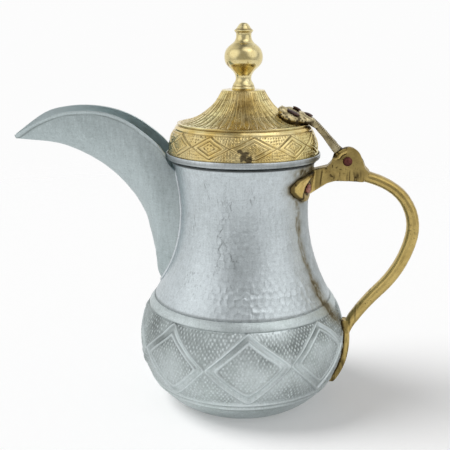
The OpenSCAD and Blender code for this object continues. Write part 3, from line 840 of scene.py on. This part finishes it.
def recast(name, node, cell, rounds, body, paint, shape, fillets, lobes=()):
    """A cast piece grown from a solid, fillets and oval lobes, worn round, then shaped.

    A fillet is an outline, measured from the pin, and a half width.
    """
    solid = nodes[node].data
    points = [tuple(v.co) for v in solid.vertices]
    faces = [tuple(p.vertices) for p in solid.polygons]
    for outline, half in fillets:
        n, base = len(outline), len(points)
        points += [((PIN[0] + x) * MM, y * MM, (PIN[1] + z) * MM) for y in (-half, half) for x, z in outline]
        faces += [tuple(base + k for k in range(n)), tuple(base + n + k for k in reversed(range(n)))]
        faces += [(a, a + n, b + n, b) for a, b in [(base + k, base + (k + 1) % n) for k in range(n)]]
    for lobe in lobes:
        add_oval(points, faces, *lobe)
    mesh = bpy.data.meshes.new(name)
    mesh.from_pydata(points, [], faces)
    blank = bpy.data.objects.new(name, mesh)
    bpy.context.scene.collection.objects.link(blank)
    cells = blank.modifiers.new("cells", "REMESH")
    cells.mode, cells.voxel_size = "VOXEL", cell * MM
    worn = blank.modifiers.new("worn", "SMOOTH")
    worn.factor, worn.iterations = 0.5, rounds
    mesh = settle(blank).data
    bpy.data.objects.remove(blank)
    points, marks = shape(points_of(mesh))
    set_points(mesh, points)
    add_marks(mesh, marks)
    mesh.update()
    mesh.shade_smooth()
    shown(name, mesh, paint, body, node)


CHEEK, FORK_HALF = 4.3, 5.5  # half width between the fork's cheeks, and over them


def handle_shape(p):
    """The cast handle as it is now: soft knuckle, creased leaf bent in, worn edges, specks of grime, painted
    shade in its corners and on the leaf, and painted highlights.
    """
    x, y, z = p.T.copy()
    px, pz = x - PIN[0], z - PIN[1]
    to_pin, angle = np.hypot(px, pz), np.degrees(np.arctan2(pz, px))

    # the knuckle's sides run into the arm and the grip without a step
    off = np.abs(y)
    half = FORK_HALF + 2.1 * step(19, 9.4, to_pin)
    spread = CHEEK + np.clip(off - CHEEK, 0, 9) / (FORK_HALF - CHEEK) * (half - CHEEK)
    wide = np.where(off <= FORK_HALF, spread, np.maximum(off, half))
    y = np.where((to_pin < 21) & (off > CHEEK) & (x > 52), np.sign(y) * wide, y)

    # the far cheek is worn down, and the near one cut back where the strap's eye shows
    cut = 0.17 * step(1.0, 5.5, y) * step(-12, 20, angle) * step(175, 150, angle)
    cut = cut + 0.25 * step(-4.2, -4.9, y) * step(88, 104, angle) * step(172, 158, angle)
    cut = np.where((to_pin > 4) & (to_pin < 13), cut, 0)
    x, z = PIN[0] + px * (1 - cut), PIN[1] + pz * (1 - cut)

    # leaf: two flats that meet in a crease, falling away to an edge painted dark as shade
    r = np.hypot(x, y)
    off, up, out = np.abs(y), z - RIVET_Z, r - pot_radius(z)
    leaf = (off > 6.5) & (up < 13) & (up > -12) & (x < 60) & (out < 4)
    edge, ridge = line_distance(off, up, LEAF), line_distance(off, up, LEAF_CREASE)
    crease_off, crease_up = np.array(LEAF_CREASE[::-1]).T
    left = off > np.interp(up, crease_up, crease_off)
    to_rivet = np.hypot(off - RIVET_Y, up)
    pit = bump(to_rivet, 4.2)
    rise = 1.4 * capped(1 - ridge / np.where(left, 8.0, 13.0)) * (1 - 0.75 * pit) - 0.7 * step(1.4, 0.0, edge)
    grow = np.where(leaf, capped(out / 2.3) * (rise - 0.4 * pit - 0.25 * bump(ridge, 0.45)), 0)
    scale = (r + grow) / np.maximum(r, 1e-6)
    x, y = bent_in(x * scale, y * scale, z)

    # unevenness, file marks under the knuckle, and a rim left round the eye
    rough = wander_at(x, y, z)
    uneven = 0.12 * rough(8, 71) + 0.06 * rough(2.8, 72)
    low = step(-4, -9, pz) * step(-13, -6, px) * step(15, 7, px)
    files = wander(x * 7.5, y * 2.0, z * 0.8 + x * 0.5, 5.0, 73) * low
    arc = (y < -4.0) * step(90, 104, angle) * step(176, 164, angle)
    crescent, groove = arc * bump(to_pin - 8.0, 0.75), arc * bump(to_pin - 6.6, 0.6)
    swell = (1.3 * uneven + 0.10 * files + 0.5 * crescent - 0.5 * groove) * (np.abs(y) > 2)
    shaped = np.stack([x + 0.8 * uneven, y + np.sign(y) * swell, z + 0.8 * uneven], 1)

    # darker: painted shade where the handle meets the pot, on the leaf's edges, crease and right flat, round
    # its rivet, in the fork, under a ledge and along the foot; the knuckle and the arm by the neck darker;
    # file marks and specks of grime
    knuckle = step(24, 11, to_pin)
    ledge = bump(x - 53.9 - 0.10 * (z - 162), 0.45) * (y < 0) * step(154, 158, z) * step(168, 165, z)
    patch = 0.7 + 0.6 * rough(5, 75)
    hollow = 0.9 * (out < 1.0) * (z > 100) * (off > 5) + 0.8 * step(1.1, 0.4, edge) * leaf * (left | (up > 4))
    hollow += (0.95 * bump(ridge, 0.62) + 0.42 * ~left + 0.7 * bump(to_rivet - 4.0, 0.7)) * leaf
    by_neck = step(-3, -14, px) * step(66, 54, x) * (z > 150) * (x > 50)
    hollow += (0.52 * knuckle + 0.4 * by_neck) * patch
    in_fork = (np.abs(y) < 4.6) & (to_pin < 10.5) & (pz > -9)
    hollow += 0.5 * step(0.0, 0.6, files) + 0.9 * in_fork + 0.8 * ledge
    hollow += 0.95 * step(2.3, 0.9, out) * (z < 66) * (np.abs(y) > 2) + 0.3 * step(36, 22, z) * (z < 42)
    hollow += 0.55 * step(0.45, 0.75, rough(1.3, 76)) * step(0.0, 0.5, rough(8, 78))
    # painted shadow in the groove inside the rim round the eye
    hollow = np.maximum(hollow * (1 - crescent), groove)
    # paler: random wear, and painted highlight on the rim round the eye, inside the leaf's edge and over its
    # left flat
    rubbed = crescent + 0.5 * bump(edge - 2.6, 0.5) * leaf + 0.75 * leaf * left * step(1.6, 2.6, edge)
    rubbed += 0.35 * step(0.0, 0.7, wander(x * 0.4, y, z * 0.4, 9, 77)) * (1 - knuckle)
    return shaped, {"hollow": capped(hollow), "rubbed": capped(rubbed)}


KNUCKLE_FILLETS = [
    ([(7.4, 4.6), (9.9, 0.6), (11.5, -4.6), (14.6, -7.4), (12, -12), (5, -9), (3, 0)], 6.2),
    ([(-7, 6.4), (-9.4, 4.2), (-10.8, -1.0), (-13.6, -4.2), (-13, -8), (-5, -8), (-3, 0)], 6.2)]


def make_handle():
    recast("cast_handle", "handle", 0.42, 7, "pot", HANDLE_BRASS, handle_shape, KNUCKLE_FILLETS)


# ---------------------------------------------------------------- lid

LID_ARC, LID_R = (23.98, 178.0), 27.0
CONE_ARC, CONE_R = (48.89, 234.5), 38.1
LID_FOOT, LID_TOP = 176.4, 218.5
CONE_FOOT, CONE_FOOT_R = 196.67, 44.4
# corners between the band's diamonds, in degrees round the lid
CORNERS = np.array([-154, -122, -91.1, -55.7, -26, 9, 45, 81, 117, 161.5])
BAND_MID, BAND_HALF = 185.3, 7.3
PETALS = 44


def band_place(turn, r, z):
    """A place on the lid's band: across and up in its diamond, how deep inside, and which diamond."""
    degrees = np.degrees(wrap(turn))
    ring = np.concatenate([[CORNERS[-1] - 360], CORNERS, [CORNERS[0] + 360]])
    own = np.clip(np.searchsorted(ring, degrees, side="right") - 1, 0, len(ring) - 2)
    start, stop = ring[own], ring[own + 1]
    across, half = np.radians(degrees - (start + stop) / 2) * r, np.radians(stop - start) / 2 * r
    up = z - BAND_MID
    depth = 1 - np.abs(across) / half - np.abs(up) / BAND_HALF
    return across, up, depth * half * BAND_HALF / np.hypot(half, BAND_HALF), own


def band_engraving(turn, r, z, rough):
    """Double-edged diamonds filled with strokes and dots, and pits between them: height and grime."""
    across, up, depth, own = band_place(turn, r, z + 0.30 * rough(5, 91))
    third = own % 2 == 0
    cuts = 0.50 * bump(depth, 0.34) + 0.46 * bump(depth - 2.6, 0.30) + 0.22 * bump(depth - 4.3, 0.28) * third
    swell = 0.30 * step(0.3, 1.0, depth) * step(2.4, 1.8, depth)
    strokes = 0.10 * np.cos((across * 0.7 + up) / 1.15 * TAU) * step(2.9, 3.3, depth)
    pits = punched(across + 200 + own * 31, up + 50, 1.85, 0.52, 92) * step(-0.5, -1.1, depth)
    few = punched(across + 90 + own * 17, up + 50, 2.3, 0.42, 93) * step(3.0, 3.6, depth)
    hollow = 0.95 * bump(depth, 0.30) + 0.85 * bump(depth - 2.5, 0.28) + 0.6 * bump(depth - 4.3, 0.24) * third
    hollow += 0.9 * pits + 0.8 * few + 0.25 * step(0, 1, -strokes * 10)
    on_band = step(177.6, 178.4, z) * step(193.0, 192.4, z)
    return on_band * (swell + strokes - cuts - 0.48 * pits - 0.36 * few), on_band * capped(hollow)


def petal_engraving(turn, r, rough):
    """Long petals up the cone, with dots between them and dashes on them: height and grime."""
    pick = turn / TAU * PETALS
    own = np.floor(pick).astype(np.int64) % PETALS
    sway = chance(94)[own]
    part = np.abs(pick - np.floor(pick) - 0.5 + 0.05 * sway)
    width = TAU / PETALS * r
    tip = 42.2 + 1.2 * chance(95)[own]
    half = 0.40 * width * np.sqrt(capped((tip - r) / np.maximum(tip - r, 7)))
    beside = part * width
    edge = beside - half
    outline = bump(edge, 0.30) * step(tip + 0.6, tip - 0.3, r) * np.clip(0.75 + 0.5 * rough(6, 90), 0.2, 1)
    low_spine = step(25, 23, r) * (own % 2)
    high_spine = step(tip - 9, tip - 10, r) * step(28, 29, r) * (own % 3 == 0)
    spine = bump(beside, 0.22) * (low_spine + high_spine)
    belly = 0.12 * capped(1 - (beside / np.maximum(half, 0.3)) ** 2)
    dots = punched(beside + 20 + own * 13, r + 3, 1.7, 0.42, 96) * step(0.4, 0.9, edge) * (r > 27)
    rings = bump(r - 27.5, 0.3) + bump(r - 17.6, 0.28) + bump(r - 20.4, 0.25) * 0.6
    dashes = punched(beside + 40 + own * 7, r + 1.5 * sway + 9, 2.9, 0.40, 89) * (edge < -0.5)
    cuts = 0.42 * outline + 0.30 * spine + 0.34 * dots + 0.30 * dashes + 0.16 * rings * (part > 0.12)
    hollow = 0.9 * outline + 0.8 * spine + 0.9 * dots + 0.8 * dashes + 0.25 * rings
    return (belly - cuts) * step(43.0, 42.0, r) * step(14.4, 15.4, r), hollow


def lid_relief(turn, r, z):
    """The engraved lid: band, plain shoulder with its bead, cone, dark marks, a soot stain, painted shade on
    the viewed side and the band's left, and painted highlights to either side.
    """
    rough = wander_at(r * np.cos(turn), r * np.sin(turn), z)
    on_side = np.abs(np.hypot(r - LID_ARC[0], z - LID_ARC[1]) - LID_R) < 0.5
    on_cone = np.abs(np.hypot(r - CONE_ARC[0], z - CONE_ARC[1]) - CONE_R) < 0.5
    outer = np.where(z < 196.0, on_side, on_cone) | (z > LID_TOP - 0.4)

    height, hollow = band_engraving(turn, r, z, rough)
    height += 0.40 * step(192.9, 193.4, z) * step(195.4, 194.9, z) - 0.34 * bump(z - 192.8, 0.30) * (z < 194)
    height += 0.62 * bump(np.hypot(r - 44.9, z - 196.5), 0.8) - 0.45 * bump(z - 195.7, 0.33) * (r > 43)
    hollow += 0.7 * bump(z - 192.8, 0.28) + 0.85 * bump(z - 195.7, 0.34) * (r > 43)
    petals, petal_dirt = petal_engraving(turn, r, rough)
    cone = (z > CONE_FOOT - 0.2) & (z <= LID_TOP - 0.05) & (r < 43.2)
    height += np.where(cone, petals, 0) + 0.24 * rough(9, 97) + 0.06 * rough(3, 100)
    hollow += np.where(cone, petal_dirt, 0)

    degrees = np.degrees(wrap(turn))
    stain = bump(np.hypot((degrees + 80.5) * 0.86, (z - 181.2) * 0.95), 3.4) * (0.9 + 0.5 * rough(2, 98))
    stain += 0.7 * bump(np.hypot((degrees + 77) * 0.86, z - 178.6), 2.2)
    stain += 0.5 * bump(np.hypot((degrees + 84) * 0.86, z - 184.5), 1.6)
    stain = step(0.34, 0.56, stain + 0.25 * rough(1.4, 88))
    uneven = 0.75 + 0.5 * rough(7, 45)
    # painted shade: brown down the viewed side, darker near the top, and on the band's left
    brown = 0.30 + 0.22 * step(194, 200, z) + 0.26 * step(204, 210, z)
    brown = brown * bump(degrees + 80, 17 + 12 * step(204, 212, z))
    left_band = step(-60, -80, degrees) * step(-178, -160, degrees) * step(193, 191, z)
    brown = np.maximum(brown, 0.24 * left_band) * uneven
    # painted highlights left and right of the viewed side, on the cone and on the band
    rubbed = (1.1 * bump(degrees + 128, 24) + 0.95 * bump(degrees + 36, 15)) * step(193, 197, z)
    rubbed = (rubbed + 1.2 * bump(degrees + 18, 20) * step(194, 190, z)) * uneven
    hollow = np.maximum(hollow * (0.72 + 0.38 * rough(8, 99)), brown)
    return np.where(outer, height, 0), only(outer, {
        "hollow": capped(hollow), "stain": stain, "rubbed": capped(rubbed * (1 - hollow))})


def arc_line(middle, radius, start, stop, count):
    """Points (r, z) along an arc between two angles."""
    around = np.linspace(start, stop, count)
    return [[middle[0] + radius * math.cos(a), middle[1] + radius * math.sin(a)] for a in around]


def make_dome():
    side = [math.asin((z - LID_ARC[1]) / LID_R) for z in (LID_FOOT + 0.3, 195.9)]
    ends = ((CONE_FOOT_R, CONE_FOOT), (14.3, LID_TOP))
    cone = [math.atan2(z - CONE_ARC[1], r - CONE_ARC[0]) for r, z in ends]
    line = [[49.9, LID_FOOT], [50.9, LID_FOOT]]
    line += arc_line(LID_ARC, LID_R, *side, 68) + arc_line(CONE_ARC, CONE_R, *cone, 76)
    line += [[13.6, LID_TOP + 0.2], [12, LID_TOP + 0.25], [8, LID_TOP + 0.25], [3, LID_TOP + 0.2]]
    line += [[3, LID_TOP - 1.2], [13.2, LID_TOP - 1.2], [18, 210], [24, 202.6], [32, 198.6]]
    line += [[42.5, 195.4], [45.4, 192], [48.3, 186], [49.6, 180]]
    turned("engraved_lid", line, 960, "lid", LID_BRASS, "lid_dome", lid_relief)


def lid_height(r):
    """Height of the lid's cone over a radius."""
    below = np.sqrt(np.maximum(CONE_R ** 2 - (r - CONE_ARC[0]) ** 2, 0))
    return np.where(r < CONE_FOOT_R, CONE_ARC[1] - below, CONE_FOOT)


def slope_at(x, y, lift):
    """A place lift mm over the lid's cone, with the directions sideways, down the slope and out of it."""
    r = math.hypot(x, y)
    fall = (r - CONE_ARC[0]) / math.sqrt(CONE_R ** 2 - (r - CONE_ARC[0]) ** 2)
    long = math.hypot(1, fall)
    cx, cy = x / r, y / r
    side, down = np.array([-cy, cx, 0]), np.array([cx, cy, fall]) / long
    out = np.array([-fall * cx, -fall * cy, 1]) / long
    return np.array([x, y, float(lid_height(r))]) + lift * out, side, down, out


ARM_LEAN = math.radians(48)


def strap_shape(p):
    """The lid's strap as it is now: ribs on its arm, dents, dark specks of grime, painted shadow at its foot,
    and painted shade in its ribs and round the eye.
    """
    x, y, z = p.T.copy()
    rough = wander_at(x, y, z)
    px, pz = x - PIN[0], z - PIN[1]
    pad, arm = step(49, 45.5, x), step(46.5, 49, x) * step(68, 64, x) * (pz > 4)
    c, s = math.cos(ARM_LEAN), math.sin(ARM_LEAN)
    along, over = px * c - pz * s, px * s + pz * c
    wave = np.cos(along / 1.25 * TAU + 2.2 * rough(4, 85))
    ribs = 0.105 * wave * arm
    thin = -0.16 * (over + 0.6) * arm
    dent = (0.20 * rough(4.0, 81) + 0.12 * rough(1.7, 82)) * (0.35 + 0.65 * pad)
    shaped = np.stack([x + ribs + thin * s, y * (1 + 0.03 * rough(4, 83)), z + ribs + thin * c + dent], 1)

    above = z - lid_height(np.hypot(x, y))
    # painted shadow round the pad's foot, painted shade in the ribs' hollows and round the knuckle's eye, the
    # arm darker; specks of grime
    foot = step(2.6, 1.2, above + 1.2 * bump(np.hypot(x - 26, y + 9), 6)) * pad
    side_face = step(5.8, 4.6, above) * step(54, 48, x) * step(0.9, 0.2, rough(4, 79))
    specks = step(0.10, 0.30, rough(1.25, 84)) * (0.14 + 0.86 * side_face)
    hollow = 0.85 * specks + 0.95 * foot + 0.75 * arm * step(0.0, 0.8, -wave) * step(0.4, 1.2, over)
    hollow += 0.42 * step(43, 52, x) * (0.9 + 0.5 * rough(4, 86))
    hollow += 0.9 * bump(np.hypot(px, pz) - 8.2, 1.2) * (px < 2)
    rubbed = 0.6 * step(0.1, 0.6, rough(3.4, 87)) * pad * step(1.4, 2.2, above)
    return shaped, {"hollow": capped(hollow), "rubbed": capped(rubbed)}


STRAP_FILLETS = [
    ([(-25.6, 24.7), (-20.8, 18.8), (-17.0, 14.6), (-14.2, 10.6), (-10.9, 5.9), (-8.0, 2.6), (-5, 2.5),
      (-5, 6), (-7.6, 12.0), (-10.4, 14.6), (-14.6, 19.2), (-19.8, 24.4), (-23.4, 27.6)], 3.9),
    ([(-33, 27.5), (-28, 24.4), (-25.5, 22.8), (-23.0, 21.2), (-19.4, 23.6), (-21.6, 25.4), (-24.4, 27.7),
      (-28.1, 30.4), (-29.6, 31.2), (-33, 32.2)], 4.4)]
# place x and y, height over the cone, and half axes across, along and out
STRAP_LOBES = [
    (31.0, -8.6, 2.2, 7.4, 7.6, 3.5), (31.6, 8.2, 2.6, 6.8, 7.4, 3.9), (38.0, 0, 2.4, 6.8, 9.0, 3.1),
    (26.2, -9.6, 3.9, 4.0, 3.8, 2.6), (36.2, -6.6, 2.5, 5.4, 6.4, 3.2)]
# place x and y, height over the cone, half axes along and across, and turn and tilt in degrees
PAD_RIVETS = [
    (32.2, -9.2, 5.8, 5.0, 3.1, 22, 2), (33.0, 7.0, 6.9, 3.1, 3.0, 0, 4), (43.0, -1.6, 6.3, 3.3, 3.1, 0, 12)]


def pad_lobe(x, y, lift, across, along, out):
    """An oval lobe of the strap's pad, from its place over the cone and its half axes."""
    place, side, down, up = slope_at(x, y, lift)
    return place, side * across, down * along, up * out


def make_strap():
    lobes = [pad_lobe(*lobe) for lobe in STRAP_LOBES]
    recast("cast_strap", "hinge_strap", 0.34, 9, "lid", STRAP_BRASS, strap_shape,
           STRAP_FILLETS, lobes)


def turned_by(a, b, degrees):
    """Two directions turned together in their own plane."""
    c, s = math.cos(math.radians(degrees)), math.sin(math.radians(degrees))
    return a * c - b * s, b * c + a * s


def make_pad_rivets():
    """Rivets through the pad: beaten flat and oval outside, small burrs inside the lid."""
    points, faces = [], []
    for x, y, lift, along, across, spin, tilt in PAD_RIVETS:
        place, side, down, out = slope_at(x, y, lift)
        down, out = turned_by(down, out, tilt)
        side, down = turned_by(side, down, spin)
        add_oval(points, faces, place, side * across, down * along, out * 0.9, 40, 16)
        add_oval(points, faces, *pad_lobe(x, y, -1.6, 2.3, 2.3, 0.8), 40, 16)
    mesh = bpy.data.meshes.new("beaten_pad_rivets")
    mesh.from_pydata(points, [], faces)
    mesh.shade_smooth()
    shown("beaten_pad_rivets", mesh, BLACK_COPPER, "lid", "strap_rivets")


COLLAR = [
    [44.7, 172.9], [48.0, 172.9], [48.3, 173.9], [50.3, 174.2], [50.6, 173.3], [51.2, 172.95], [51.9, 173.25],
    [52.35, 174.2], [52.55, 175.4], [52.5, 176.6], [52.2, 177.15], [51.85, 177.0], [51.6, 176.2],
    [51.2, 175.7], [50.0, 175.9], [49.6, 176.3], [49.6, 177.9], [48.6, 177.9], [48.5, 175.2], [44.7, 175.2]]


def collar_relief(turn, r, z):
    """A little uneven, darker in and below its fold, with painted shadow underneath and painted shade towards
    both sides.
    """
    rough = wander_at(r * np.cos(turn), r * np.sin(turn), z)
    # darker below and in the fold; painted shadow on the underside; painted shade towards both sides, patchy
    # on the handle's side
    hollow = 0.42 * step(176.9, 175.6, z) + 0.8 * bump(r - 51.4, 0.28) * (z > 175.6)
    hollow += step(173.3, 173.0, z) + 0.35 * bump(z - 174.6, 0.5) + step(51.3, 50.9, r) * (z < 174.5)
    hollow += 0.30 * step(-0.3, -0.8, np.cos(turn))
    hollow += 0.45 * step(-0.3, 0.9, np.cos(turn)) * (0.5 + 0.5 * rough(6, 102))
    outer = r > 48.5
    return np.where(outer, 0.14 * rough(11, 101), 0), only(outer, {"hollow": capped(hollow)})


def make_collar():
    line = dense(COLLAR, 0.7)
    turned("lid_flange", line, 360, "lid", BRIGHT_METAL, "lid_collar", collar_relief)


FINIAL_FOOT = [[0.02, 218.6], [3.0, 218.6], [6.6, 218.55]]
FINIAL = [
    [7.2, 218.6], [7.75, 218.9], [7.8, 219.6], [7.75, 220.4], [7.3, 221.0], [7.15, 221.3], [7.0, 222.3],
    [6.1, 223.5], [5.3, 225.0], [5.15, 226.6], [5.5, 228.2], [6.6, 230.3], [8.9, 232.6], [11.3, 234.8],
    [12.55, 237.2], [12.95, 240.2], [12.5, 243.2], [11.2, 245.8], [8.9, 247.9], [6.6, 249.6], [5.4, 251.4],
    [5.0, 253.4], [5.05, 255.2], [5.6, 256.2], [6.25, 256.7], [6.3, 257.3], [5.8, 257.8], [5.1, 258.2],
    [4.5, 259.2], [3.5, 260.6], [2.5, 261.7], [1.4, 262.15], [0.02, 262.2]]


def finial_relief(turn, r, z):
    """Fine turning lines, darker in the necks and in patches round the ball."""
    rough = wander_at(r * np.cos(turn), r * np.sin(turn), z)
    hollow = 0.9 * bump(z - 221.2, 0.25) + 0.8 * bump(z - 258.0, 0.3) + 0.5 * bump(z - 256.1, 0.4)
    hollow += 0.9 * step(0.3, 0.8, rough(2.3, 112)) * bump(z - 235.5, 2.2)
    return 0.05 * rough(4, 111) + 0.03 * np.cos(z * TAU / 1.3), {"hollow": capped(hollow)}


def make_finial():
    line = np.concatenate([FINIAL_FOOT, rounded(FINIAL)])
    turned("turned_finial", line, 160, "lid", FINIAL_BRASS, "finial", finial_relief, False)


def make_leaf_rivets():
    """The leaves' rivets, bent in with the leaves and beaten down unevenly."""
    mesh = nodes["leaf_rivets"].data.copy()
    x, y, z = points_of(mesh).T
    turn, r = np.degrees(np.arctan2(y, x)), np.hypot(x, y)
    turn = np.radians(turn - np.sign(turn) * LEAF_TURN)
    r = r + 0.18 * wander(x, y, z, 2.0, 121) * (r > 48)
    set_points(mesh, np.stack([r * np.cos(turn), r * np.sin(turn), z], 1))
    shown("beaten_leaf_rivets", mesh, RED_COPPER, "pot", "leaf_rivets")


def paint_the_rest():
    """Finishes for the pieces that stay as built."""
    # the rim ring is painted dark as the shadow under the lid's collar
    for name, paint in {"rim_ring": PAINTED_SHADOW_METAL, "lid_sleeve": BRIGHT_METAL, "hinge_pin": PIN_COPPER,
                        "finial_stud": LID_BRASS, "finial_washer": LID_BRASS}.items():
        mesh = nodes[name].data
        mesh.materials.clear()
        mesh.materials.append(paint)


# ---------------------------------------------------------------- floor, light and camera

FLOOR_GLOW = (0.208, 0.208, 0.208)


def rays(tree, *kinds):
    """1 for these kinds of ray, 0 for others."""
    path = tree.nodes.new("ShaderNodeLightPath")
    found = [Mix(tree, path.outputs["Is %s Ray" % kind]) for kind in kinds]
    return sum(found[1:], found[0])


def floor_recipe(m):
    """Pale floor with a little glow where it is looked at, gone into the backdrop far from the pot."""
    looked_at = rays(m.tree, "Camera", "Glossy", "Transmission")
    place = m.node("ShaderNodeTexCoord", out="Object") * (1.0, 1.0, 0.0)
    far = m.node("ShaderNodeVectorMath", {"operation": "LENGTH"}, {0: place}, "Value")
    return {"Base Color": (0.80, 0.80, 0.80, 1), "Roughness": 0.9, "Emission Strength": 1.0,
            "Emission Color": looked_at.blend((0.0, 0.0, 0.0), FLOOR_GLOW),
            "Alpha": far.between(1.15, 0.5), "Specular IOR Level": 0.0}


def make_floor():
    mesh = bpy.data.meshes.new("floor")
    mesh.from_pydata([(-30, -30, 0), (30, -30, 0), (30, 30, 0), (-30, 30, 0)], [], [(0, 1, 2, 3)])
    floor = bpy.data.objects.new("floor", mesh)
    bpy.context.scene.collection.objects.link(floor)
    mesh.materials.append(finish("floor", floor_recipe))


def make_camera():
    turn, tilt = math.radians(10), math.radians(76.1)
    right, back, up = -0.01236, 0.530, 0.25617
    data = bpy.data.cameras.new("camera")
    data.lens, data.sensor_width = 62.4, 36
    data.clip_start, data.clip_end = 0.01, 100
    camera = bpy.data.objects.new("camera", data)
    camera.location = (right * math.cos(turn) + back * math.sin(turn),
                       right * math.sin(turn) - back * math.cos(turn), up)
    camera.rotation_euler = (tilt, 0, turn)
    bpy.context.scene.collection.objects.link(camera)
    bpy.context.scene.camera = camera


def direction(turn, rise):
    """A direction from the pot, turn degrees to the right of the side that is viewed and rise degrees up."""
    a, e = math.radians(VIEWED + turn), math.radians(rise)
    return math.cos(a) * math.cos(e), math.sin(a) * math.cos(e), math.sin(e)


def make_window():
    """Soft light from a window on the left, which metal doesn't mirror."""
    data = bpy.data.lights.new("window_left", "SUN")
    data.energy, data.angle = 2.4, math.radians(36)
    away = 2.0 * Vector(direction(-94, 50))
    window = bpy.data.objects.new("window_left", data)
    window.location = Vector((0, 0, 0.13)) + away
    window.rotation_euler = (-away).to_track_quat("-Z", "Y").to_euler()
    window.visible_glossy = False
    bpy.context.scene.collection.objects.link(window)


def make_room():
    """A white backdrop that gives light, and the studio as metal mirrors it."""
    world = bpy.data.worlds.new("studio")
    bpy.context.scene.world = world
    world.use_nodes = True
    tree = world.node_tree
    tree.nodes.clear()
    m = Mix(tree, None)
    look = m.node("ShaderNodeTexCoord", out="Generated")

    def toward(turn, rise, wide, soft):
        """1 for what is seen within wide degrees of a direction, falling to 0 over soft degrees more."""
        sockets = {0: look, 1: direction(turn, rise)}
        near = m.node("ShaderNodeVectorMath", {"operation": "DOT_PRODUCT"}, sockets, "Value")
        return near.between(math.cos(math.radians(wide + soft)), math.cos(math.radians(wide)))

    # white behind the pot, a dim room before it, two soft boxes and a lamp overhead
    room = toward(180, 0, 50, 62) * 0.53 + 0.45
    room = room + toward(-64, 22, 14, 28) * 0.78 + toward(58, 24, 14, 26) * 0.72 + toward(40, 62, 6, 24) * 1.1
    # darker on the right, behind and straight above
    room = room - toward(100, 10, 4, 16) * 0.2 - toward(180, 58, 14, 17) * 0.52 - toward(0, 84, 10, 18) * 0.30
    shade = m.node("ShaderNodeCombineColor", {}, {"Red": room, "Green": room, "Blue": room})
    colour = rays(tree, "Glossy").blend((0.975, 0.975, 0.975), shade)
    seen = m.node("ShaderNodeBackground", {}, {"Color": colour, "Strength": 1.0})
    light = m.node("ShaderNodeBackground", {}, {"Color": (1.0, 1.0, 1.0, 1), "Strength": 0.38})
    looked_at = rays(tree, "Camera", "Glossy", "Transmission")
    both = m.node("ShaderNodeMixShader", {}, {0: looked_at, 1: light, 2: seen})
    end = tree.nodes.new("ShaderNodeOutputWorld")
    tree.links.new(both.out, end.inputs["Surface"])


for make in (make_bowl, make_band, make_neck, make_beak, make_handle, make_dome, make_strap, make_pad_rivets,
             make_collar, make_finial, make_leaf_rivets, paint_the_rest, make_floor, make_camera, make_window,
             make_room):
    make()

bpy.context.scene.view_settings.view_transform = "Standard"
